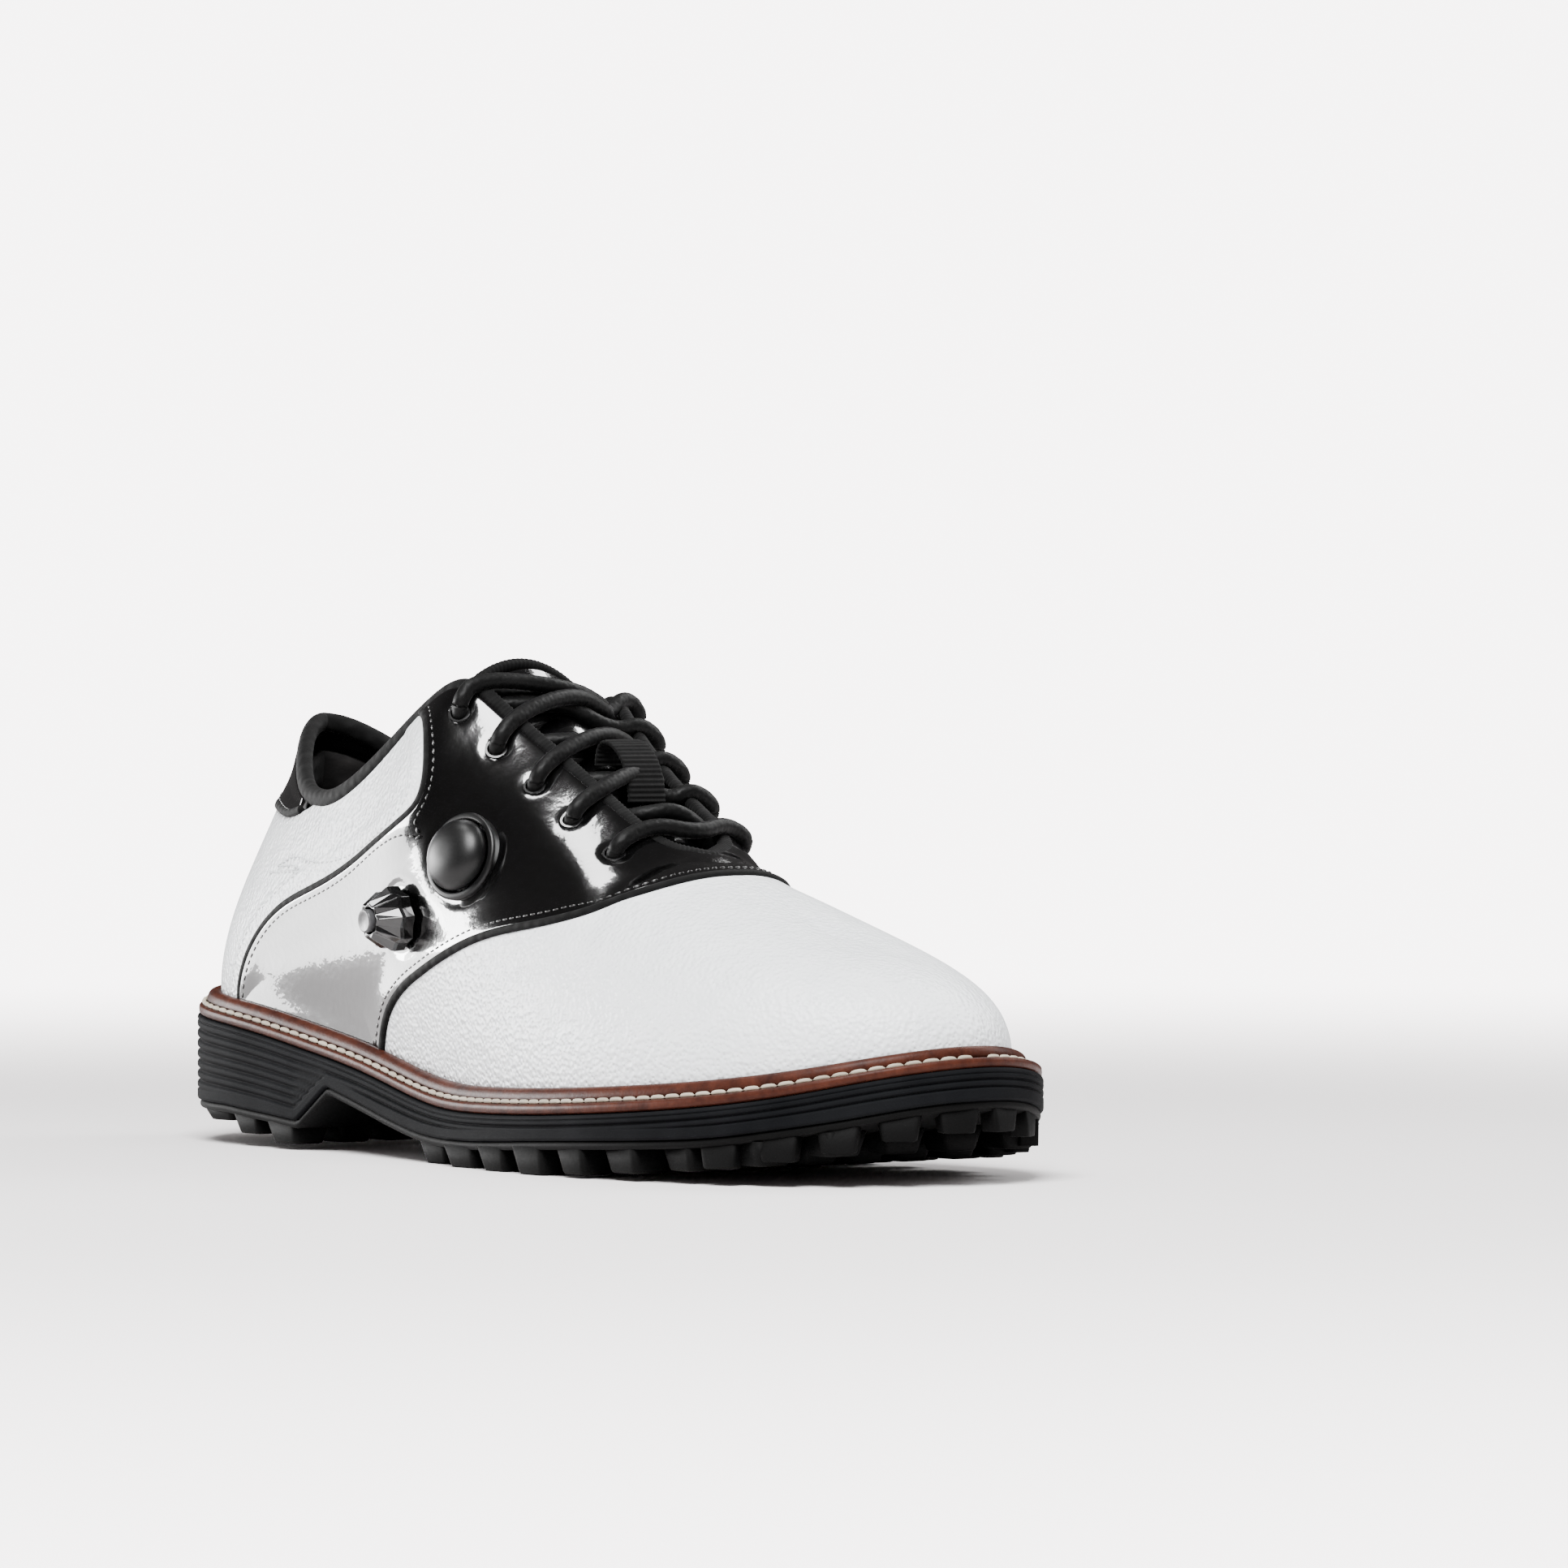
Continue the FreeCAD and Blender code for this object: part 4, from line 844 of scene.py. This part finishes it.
def saddle_lift(patch_data, distance):
    side, p, _, _, _ = patch_data
    return .75 * np.exp(-(distance / 6) ** 2) - seat_depth(side, p)


def cut_well(piece, place, radius):
    """A round hole through a piece, along the surface normal at a place on the outer side."""
    w = np.linspace(0, 2 * math.pi, 96, endpoint=False)
    rings = np.array([np.stack([radius * np.cos(w), radius * np.sin(w), np.full(96, z)], -1)
                      for z in (-6, 6)])
    faces = grid_faces(2, 96, wrap_columns=True) + [list(range(96)), list(range(96, 192))[::-1]]
    mesh = bpy.data.meshes.new("well")
    mesh.from_pydata((mounted(place, rings).reshape(-1, 3) * MM).tolist(), [], faces)
    bm = bmesh.new()
    bm.from_mesh(mesh)
    bmesh.ops.recalc_face_normals(bm, faces=bm.faces)
    bm.to_mesh(mesh)
    bm.free()
    cutter = bpy.data.objects.new("well", mesh)
    bpy.context.scene.collection.objects.link(cutter)
    cut = piece.modifiers.new("cut", "BOOLEAN")
    cut.operation = "DIFFERENCE"
    cut.solver = "EXACT"
    cut.object = cutter
    bpy.context.view_layer.update()
    graph = bpy.context.evaluated_depsgraph_get()
    result = bpy.data.meshes.new_from_object(piece.evaluated_get(graph))
    piece.modifiers.clear()
    piece.data = result
    bpy.data.objects.remove(cutter)
    bpy.data.meshes.remove(mesh)


def make_saddle():
    """One piece over the instep, open along the facings."""
    start, end = VAMP_SEAM[-1][0] + SEAM_GAP, QUARTER_SEAM[-1][0] - SEAM_GAP
    split = (THROAT - start) / (end - start)
    ts = crowded(150, pull=.6)
    ss = np.concatenate([np.linspace(0, split, 40), np.linspace(split, 1, 170)[1:]])
    fine = np.linspace(0, 1, 500)
    free = []
    for side in (-1, 1):
        free += [edge_line(side, saddle_place, 0, fine), edge_line(side, saddle_place, 1, fine)]
        free += [edge_line(side, saddle_place, fine, 0)]
        free += [edge_line(side, saddle_place, np.linspace(split, 1, 500), 1)]
    saddle = sheet_piece("saddle_patent", both_sides(saddle_place, ss, ts), free, "patent_leather",
                         lift=saddle_lift, replaces=["saddle"])
    cut_well(saddle, BULB_AT, BULB_WELL)


def make_quarters():
    def lift(patch_data, _):
        side, p, _, _, _ = patch_data
        seam_line = edge_line(side, quarter_place, 0, np.linspace(0, 1, 400))
        from_seam = distance_to(p, seam_line)
        return .38 / (1 + np.exp((from_seam - 6.3) / .35))
    fine = np.linspace(0, 1, 500)
    for side, word in ((-1, "lateral"), (1, "medial")):
        free = [edge_line(side, quarter_place, fine, 0), edge_line(side, quarter_place, fine, 1)]
        free += [edge_line(side, quarter_place, 0, fine), edge_line(side, quarter_place, 1, fine)]
        panel = patch(side, quarter_place, crowded(120), crowded(120))
        sheet_piece("quarter_leather_" + word, [panel], free, "white_leather", lift=lift,
                    replaces=["quarter_" + word])


def make_heel_tab():
    fine = np.linspace(0, 1, 400)
    free = []
    for side in (-1, 1):
        free += [edge_line(side, tab_place, fine, 0), edge_line(side, tab_place, fine, 1)]
        free += [edge_line(side, tab_place, 0, fine)]
    sheet_piece("heel_tab_patent", both_sides(tab_place, crowded(90), crowded(60)), free, "patent_leather",
                lift=lambda q, d: .6 * np.exp(-(d / 5) ** 2), replaces=["heel_tab"])


def make_piping():
    """Rolled black edges where the patent leather lies over the white."""
    ts = np.linspace(0, 1, 260)
    front = joined(*(beside_seam(side, saddle_place, False, .1, ts, .15) for side in (-1, 1)))
    lines = {"piping_front": front}
    for side, word in ((-1, "lateral"), (1, "medial")):
        lines["piping_rear_" + word] = beside_seam(side, saddle_place, True, .1, ts, .15)

    def low_edge(side):
        u, v = tab_place(np.linspace(0, 1, 160), 0)
        n = normal(side, u, v)
        return surface(side, u, v) + n * .2, n
    lines["piping_heel_tab"] = joined(low_edge(-1), low_edge(1))
    for name, (path, normals) in lines.items():
        _, p, n = resample(path, .8, normals)
        tube_piece(name, swept(p, n, oval(1.15, .85, 14)), "patent_leather", look="black_fabric")


def make_upper_stitches():
    ts = np.linspace(0, 1, 260)
    black = [joined(*(beside_seam(side, saddle_place, False, 2.5, ts, .62) for side in (-1, 1)))]
    white = []
    for side in (-1, 1):
        black.append(beside_seam(side, saddle_place, True, 2.5, ts, .62))
        white.append(beside_seam(side, quarter_place, False, 4.6, np.linspace(.01, .97, 200), .4))
        us = np.linspace(.405, .60, 150)
        top = leather_top(us) - .035
        black.append((surface(side, us, top) + normal(side, us, top) * .1, normal(side, us, top)))

    def tab_row(side):
        u, v = tab_place(np.linspace(0, 1, 160), .12)
        n = normal(side, u, v)
        return surface(side, u, v) + n * .5, n
    black.append(joined(tab_row(-1), tab_row(1)))
    stitch_rows("stitches_saddle", black, "patent_leather", "black_thread", pitch=2.4, length=1.7)
    stitch_rows("stitches_quarter", white, "white_leather", "white_thread", pitch=2.4, length=1.6, sink=.2)


def top_line(side, u, back, wide):
    """Centre and outward direction of a roll over the top line."""
    out = normal(side, u, np.minimum(.96, leather_top(u)))
    _, _, c, d = rib(side, u)
    up = unit(d - c)
    up = np.where((u >= 1)[..., None], up * [1, 0, 1], up)
    out = unit(out - up * dot(out, up))
    return d - up * back - out * (wide - .9), out


def make_collar_binding():
    u = np.linspace(.6, 1, 200)
    path, normals = joined(*(top_line(side, u, 1.7, 2.1) for side in (-1, 1)))
    at, p, n = resample(path, .7, normals)
    base = oval(2.5, 2.1, 28, .9)
    angle = np.linspace(0, 2 * math.pi, 28, endpoint=False)
    pucker = 1 + .006 * np.sin(at[:, None] * 1.7 + 2 * np.sin(angle)[None, :]) * np.cos(angle * 2)[None, :]
    sections = base[None] * pucker[..., None]
    tube_piece("collar_roll", swept(p, n, sections), "black_fabric", replaces=["collar_binding"])


def make_facing_tape():
    """Ribbed tape over the edges of the lace opening, round the throat in one piece."""
    u = np.linspace(.592, .392, 150)
    outer, inner = top_line(-1, u, .9, 1.5), top_line(1, u, .9, 1.5)
    tip = surface(-1, THROAT + .004, 1.0) - [0, 0, .5]
    front = (tip[None], np.array([[0, 0, 1.0]]))
    path, normals = joined(tuple(np.concatenate(pair) for pair in zip(outer, front)), inner)
    at, p, n = resample(path, .3, normals)
    for _ in range(12):
        p[1:-1] = (p[:-2] + 2 * p[1:-1] + p[2:]) / 4
    ribs = 1 + .07 * np.cos(2 * math.pi * at / 1.15)
    sections = oval(1.95, 1.45, 20, .8)[None] * ribs[:, None, None]
    tube_piece("facing_tape", swept(p, n, sections), "black_fabric",
               replaces=["facing_binding_lateral", "facing_binding_medial"])


def make_linings():
    """A padded lining round the ankle, and a thin one over the toes."""
    def ankle(s, t):
        u = .384 + (1 - .384) * s
        return u, ramp([.385, .58, .64, 1], [.77, .77, .90, .90])(u) * t
    fine = np.linspace(0, 1, 400)
    free = []
    for side in (-1, 1):
        free += [edge_line(side, ankle, fine, end) for end in (0, 1)]
        free += [edge_line(side, ankle, 0, fine)]
    line = np.concatenate(free)
    verts, faces = [], []
    for side, p, n, u, v in both_sides(ankle, crowded(110, pull=.3), crowded(50, pull=.5)):
        pad = 2.4 * np.exp(-((v - .80) / .075) ** 2) * np.clip((u - .62) / .06, 0, 1)
        inner = 3.6 + (.8 + pad) * (1 - rolled(distance_to(p, line), 1.2))
        for depth in (np.full_like(pad, 3.6), inner):
            faces += grid_faces(*depth.shape, sum(len(a) for a in verts))
            verts.append((p - n * depth[..., None]).reshape(-1, 3))
    pad_piece = add_mesh("collar_padding", np.concatenate(verts), faces, "lining_fabric",
                         replaces=["quarter_lining", "collar_foam"])

    def toes(s, t):
        return THROAT * s, t
    free = [edge_line(side, toes, 1, fine) for side in (-1, 1)]
    free += [edge_line(side, toes, fine, 0) for side in (-1, 1)]
    sheet_piece("toe_lining", both_sides(toes, crowded(60, pull=.3), crowded(50, pull=.3)), free,
                "lining_fabric", depths=(3.6, 4.4), roll=.5, replaces=["vamp_lining"])


# ---- tongue -------------------------------------------------------------------------------------
tongue_z = spline(TONGUE_X, TONGUE_Z)
tongue_half = ramp([-26, -15, 40, 60], [19.5, 20, 16.5, 13])
tongue_y = ramp([-26, -11, 22, 60], [0.5, 2, 3.3, 2.5])
tongue_tilt = ramp([-26, -11, 22, 60], [-.10, -.09, -.04, 0])
tongue_crown = ramp([-26, -20, -14, 22, 60], [.020, .027, .033, .037, .037])


def tongue_top(a, b):
    x = TONGUE_X[-1] + (TONGUE_X[0] - TONGUE_X[-1]) * b
    y = a * tongue_half(x)
    return vec(x, tongue_y(x) + y, tongue_z(x) + tongue_tilt(x) * y - tongue_crown(x) * y * y)


def tongue_frame(a, b):
    a, b = np.broadcast_arrays(np.asarray(a, float), np.asarray(b, float))
    step = 1e-3
    across = tongue_top(a + step, b) - tongue_top(a - step, b)
    along = tongue_top(a, np.minimum(b + step, 1)) - tongue_top(a, np.maximum(b - step, 0))
    return tongue_top(a, b), unit(np.cross(along, across) * -1)


def tongue_sheet(name, depths, edge_at, slot, **more):
    a, b = np.meshgrid(crowded(70, -edge_at, edge_at), crowded(110, 0, .955), indexing="ij")
    p, n = tongue_frame(a, b)
    free = [p[0], p[-1], p[:, 0], p[:, -1]]
    return sheet_piece(name, [(0, p, n, a, b)], free, slot, depths=depths, **more)


def make_tongue():
    tongue_sheet("tongue_patent", (0, 1.3), 1.0, "patent_leather", roll=.8,
                 lift=lambda q, d: .12 * np.sin(q[1][..., 0] * .55) * np.clip(d / 4, 0, 1),
                 replaces=["tongue_face"])
    pad = tongue_sheet("tongue_padding", (5.8, 1.45), .98, "lining_fabric", roll=3.5,
                       replaces=["tongue_foam", "tongue_lining"])
    a = np.concatenate([np.full(40, -1.0), np.linspace(-1, 1, 60)[1:-1], np.full(40, 1.0)])
    b = np.concatenate([np.linspace(.45, .935, 40), np.full(58, .975), np.linspace(.935, .45, 40)])
    p, n = tongue_frame(a, b)
    p = p - n * 2.6
    for _ in range(10):
        p[1:-1] = (p[:-2] + 2 * p[1:-1] + p[2:]) / 4
    at, p, n = resample(p, .35, n)
    ribs = 1 + .03 * np.cos(2 * math.pi * at / 1.2)
    sections = oval(1.6, 2.5, 22, .85)[None] * ribs[:, None, None]
    tube_piece("tongue_roll", swept(p, n, sections), "black_fabric", replaces=["tongue_binding"])


def make_lace_loop():
    """The ribbed webbing loop that the laces pass under."""
    x, z = (np.array(a, float) for a in zip(*LOOP_PATH))
    path = vec(x, np.full_like(x, 3.25), tongue_z(x) + z)
    t = np.linspace(0, 1, len(path))
    smooth = [spline(t, path[:, k]) for k in range(3)]
    fine = np.stack([f(np.linspace(0, 1, 300)) for f in smooth], -1)
    at, p = resample(fine, .2)
    out = np.cross(unit(np.gradient(p, axis=0)), [0, 1.0, 0]) * -1
    ribs = .55 + .16 * np.cos(2 * math.pi * at / 1.3)
    base = oval(5.7, 1.0, 28, .35)
    sections = np.broadcast_to(base, (len(p), *base.shape)).copy()
    sections[..., 1] *= ribs[:, None]
    tube_piece("tongue_loop", swept(p, out, sections), "black_fabric", replaces=["lace_loop"])


# ---- lacing -------------------------------------------------------------------------------------
def over_tongue(x, y, lift):
    a = (y - tongue_y(x)) / tongue_half(x)
    b = (x - TONGUE_X[-1]) / (TONGUE_X[0] - TONGUE_X[-1])
    p, n = tongue_frame(a, b)
    return p + n * lift


def hole_end(side, k):
    u = EYELETS[k][0] + .003
    centre, n = surface(side, *EYELETS[k]), normal(side, *EYELETS[k])
    return [centre - n * 2.4, centre + n * 2.7, surface(side, u, 1) + normal(side, u, .97) * 2.7]


def under_end(side, u, end):
    centre, n = surface(side, *end), normal(side, *end)
    return [centre - n * 4.9, surface(side, u, 1) - normal(side, u, .97) * 4.65]


def lace_run(start, finish, x, lift):
    """One run's control points, from hole or facing to facing."""
    middle = over_tongue(x, tongue_y(x), lift)
    points = list(start)
    for end in (start, finish):
        near = end[-1]
        beside = []
        if len(end) == 2 or lift == LACE_LOW:
            half_x, half_y = (near[0] + middle[0]) / 2, (near[1] + middle[1]) / 2
            beside = [over_tongue(half_x, half_y, lift - LACE_DIP if lift > LACE_LOW else lift + 0.4)]
        points += beside + [middle] if end is start else beside
    return points + list(finish)[::-1]


def lace_runs():
    last = len(EYELETS) - 1
    x_of = [(surface(-1, *place)[0] + surface(1, *place)[0]) / 2 for place in EYELETS]
    runs = [lace_run(hole_end(-1, last), hole_end(1, last), x_of[last] + 1.5, 6.5)]
    low_u = [place[0] - .010 for place in EYELETS]
    for side, lift in ((-1, LACE_LOW), (1, LACE_HIGH)):
        first = under_end(side, EYELETS[last][0] + .014, EYELETS[last])
        second = under_end(-side, low_u[last - 1], EYELETS[last - 1])
        runs.append(lace_run(first, second, (x_of[last] + x_of[last - 1]) / 2, lift))
    for k in range(last - 1, 0, -1):
        for side, lift in ((-1, LACE_HIGH), (1, LACE_LOW)):
            finish = under_end(-side, low_u[k - 1], EYELETS[k - 1])
            runs.append(lace_run(hole_end(side, k), finish, (x_of[k] + x_of[k - 1]) / 2, lift))
    for side, lift in ((-1, TUCKED_LIFT), (1, LACE_LOW)):
        runs.append(lace_run(hole_end(side, 0), under_end(-side, *TUCKED_AT), TOP_PAIR_X, lift))
    return runs


def nurbs_line(points):
    """Blender's own smooth line through a route's control points."""
    curve = bpy.data.curves.new("route", "CURVE")
    curve.dimensions = "3D"
    line = curve.splines.new("NURBS")
    line.points.add(len(points) - 1)
    for place, p in zip(line.points, points):
        place.co = (*p, 1)
    line.order_u = 3
    line.use_endpoint_u = True
    line.resolution_u = 16
    holder = bpy.data.objects.new("route", curve)
    mesh = bpy.data.meshes.new_from_object(holder)
    path = np.array([v.co for v in mesh.vertices], float)
    bpy.data.objects.remove(holder)
    bpy.data.meshes.remove(mesh)
    bpy.data.curves.remove(curve)
    return path


def make_laces():
    """Round braided cord. The braid is two sets of strands that wind opposite ways."""
    angle = np.linspace(0, 2 * math.pi, 24, endpoint=False)
    strands, lay = 6, 5.5
    for k, points in enumerate(lace_runs()):
        at, p = resample(nurbs_line(points), .3)
        wind = 2 * math.pi * at[:, None] / lay
        right = np.abs(np.sin(strands / 2 * angle[None] + wind))
        left = np.abs(np.sin(strands / 2 * angle[None] - wind))
        radius = LACE_RADIUS * (.93 + .07 * np.maximum(right, left))
        sections = np.stack([radius * np.cos(angle), radius * np.sin(angle)], -1)
        side_on = np.broadcast_to([.35, 0, 1.0], p.shape)
        more = {"replaces": ["lace"]} if k == 0 else {}
        tube_piece("lace_run_%02d" % k, swept(p, side_on, sections), "lace_cord", **more)


# ---- bulb and valve --------------------------------------------------------------------------------
def mounted(place, rings):
    """Rings made along +Z at the origin, moved to a place on the outer side."""
    centre, n = surface(-1, *place), normal(-1, *place)
    turn_to = np.array(Vector((0, 0, 1)).rotation_difference(Vector(n)).to_matrix())
    return rings @ turn_to.T + centre


def turned(name, place, profile, slot, n=72, **more):
    """A solid of revolution from (r, z) points, first and last on or near the axis."""
    w = np.linspace(0, 2 * math.pi, n, endpoint=False)
    rings = np.array([np.stack([r * np.cos(w), r * np.sin(w), np.full(n, z)], -1) for r, z in profile])
    return tube_piece(name, mounted(place, rings), slot, **more)


def arc(cx, cz, radius, start, end, n=8):
    return [(cx + radius * math.cos(math.radians(a)), cz + radius * math.sin(math.radians(a)))
            for a in np.linspace(start, end, n)]


def make_bulb():
    """A rubber dome in a ring. The dome moves with its press."""
    dome = [(7.9 * math.cos(a) ** .8, 1.9 + 4.2 * math.sin(a) ** .95) for a in np.linspace(1.555, .02, 30)]
    dome += [(8.6, 1.2)]
    dome += arc(8.6, 2.0, .5, -60, 0, 5)
    dome += [(9.1 * math.cos(a) ** .8, 2.0 + 5.4 * math.sin(a) ** .95) for a in np.linspace(.02, 1.555, 40)]
    dome += [(.01, 7.4)]
    turned("bulb_dome", BULB_AT, dome, "bulb_rubber", body="bulb", replaces=["inflation_bulb"])
    ring = [(9.35, -1.5), (10.9, -1.5)] + arc(10.5, .9, .8, -20, 90, 9) + arc(10.0, 1.2, .6, 90, 180, 6)
    ring += [(9.35, .8)]
    turned("bulb_ring", BULB_AT, ring, "bulb_rubber", closed=True, replaces=["bulb_skirt"])


def make_knob():
    """A faceted cone with V notches between its grips."""
    facets = 9
    w = np.arange(2 * facets) * math.pi / facets
    outer = np.arange(2 * facets) % 2 == 0
    shape = []
    for z, high, low in ((.5, 8.3, 7.4), (3.2, 8.4, 7.2), (4.2, 8.2, 7.0), (9.0, 5.0, 3.9), (9.5, 4.5, 3.7),
                         (9.2, 3.4, 3.4), (6.0, 3.3, 3.3)):
        radius = np.where(outer, high, low)
        shape.append(np.stack([radius * np.cos(w), radius * np.sin(w), np.full(len(w), z)], -1))
    knob = tube_piece("valve_knob", mounted(VALVE_AT, np.array(shape)), "gloss_plastic", smooth=False,
                      replaces=["release_valve_knob"])
    bevel = knob.modifiers.new("bevel", "BEVEL")
    bevel.width = .35 * MM
    bevel.segments = 3
    bevel.limit_method = "ANGLE"
    bevel.angle_limit = math.radians(20)
    button = [(.01, 7.9), (2.9, 7.9)] + arc(2.5, 10.4, .45, 0, 90, 7) + [(1.9, 10.6), (.01, 10.5)]
    turned("valve_button", VALVE_AT, button, "grey_plastic", body="valve_button",
           replaces=["release_valve_button"])


def finish_hidden_nodes():
    """Each CAD node that stays gets the material of its slot."""
    for part in frame["record"]["subparts"]:
        node = bpy.data.objects.get(part["node"])
        if node is None or node.hide_render:
            continue
        node.data.materials.clear()
        node.data.materials.append(materials[part["material_slot"]])


# ---- stage, light, camera -----------------------------------------------------------------------------
def area_light(name, at, target, size, power, diffuse=True):
    """A soft light. One with diffuse off shows only as a reflection in glossy pieces."""
    light = bpy.data.lights.new(name, "AREA")
    light.shape = "RECTANGLE"
    light.size, light.size_y = size
    light.energy = power
    holder = bpy.data.objects.new(name, light)
    holder.location = at
    holder.visible_camera = False
    holder.visible_diffuse = diffuse
    holder.rotation_euler = (Vector(target) - Vector(at)).to_track_quat("-Z", "Y").to_euler()
    bpy.context.scene.collection.objects.link(holder)


def make_stage():
    bm = bmesh.new()
    bmesh.ops.create_grid(bm, x_segments=8, y_segments=8, size=25)
    mesh = bpy.data.meshes.new("studio_floor")
    bm.to_mesh(mesh)
    bm.free()
    mesh.materials.append(floor_material())
    floor = bpy.data.objects.new("studio_floor", mesh)
    bpy.context.scene.collection.objects.link(floor)
    make_world()
    middle = (0, 0, .06)
    area_light("overhead", (.75, -.8, 1.5), middle, (.9, .9), 105)
    area_light("inner_side", (.5, 1.4, .9), middle, (1.0, .8), 20)
    area_light("softbox_rear", (-.95, -.62, .235), middle, (.62, .26), 22, diffuse=False)
    area_light("softbox_low", (-.285, -.14, .06), (0, -.02, .06), (.23, .078), .75, diffuse=False)
    area_light("eyelet_light", (-.27, -.17, 1.07), (.03, -.025, .08), (.2, .2), 3.2, diffuse=False)
    area_light("tongue_light", (-.08, .7, .85), (-.02, 0, .11), (.45, .2), 6, diffuse=False)


def make_world():
    """The pale backdrop, brighter than the light that it sends into the scene."""
    world = bpy.data.worlds.new("studio")
    world.use_nodes = True
    nodes, links = world.node_tree.nodes, world.node_tree.links
    backdrop, ambient, mirrored = nodes["Background"], *(nodes.new("ShaderNodeBackground") for _ in range(2))
    for node, strength in ((backdrop, 7.0), (ambient, .5), (mirrored, .07)):
        node.inputs["Color"].default_value = (1, .955, .955, 1)
        node.inputs["Strength"].default_value = strength
    ray = nodes.new("ShaderNodeLightPath")
    light, seen = nodes.new("ShaderNodeMixShader"), nodes.new("ShaderNodeMixShader")
    links.new(ray.outputs["Is Glossy Ray"], light.inputs["Fac"])
    links.new(ambient.outputs[0], light.inputs[1])
    links.new(mirrored.outputs[0], light.inputs[2])
    links.new(ray.outputs["Is Camera Ray"], seen.inputs["Fac"])
    links.new(light.outputs[0], seen.inputs[1])
    links.new(backdrop.outputs[0], seen.inputs[2])
    links.new(seen.outputs[0], nodes["World Output"].inputs["Surface"])
    bpy.context.scene.world = world


def make_camera():
    data = bpy.data.cameras.new("camera")
    data.lens = 181.9
    data.sensor_width = 36
    data.clip_end = 200
    camera = bpy.data.objects.new("camera", data)
    camera.location = (1.5957, -1.2025, .1186)
    aim = Vector((.0281, .0421, .0947)) - camera.location
    camera.rotation_euler = aim.to_track_quat("-Z", "Y").to_euler()
    bpy.context.scene.collection.objects.link(camera)
    bpy.context.scene.camera = camera


make_camera()
make_midsole()
make_outsole()
make_lugs()
make_welts()
make_welt_stitches()
make_insole()
make_vamp()
make_saddle()
make_quarters()
make_heel_tab()
make_piping()
make_upper_stitches()
make_collar_binding()
make_facing_tape()
make_linings()
make_tongue()
make_lace_loop()
make_laces()
make_bulb()
make_knob()
finish_hidden_nodes()
make_stage()
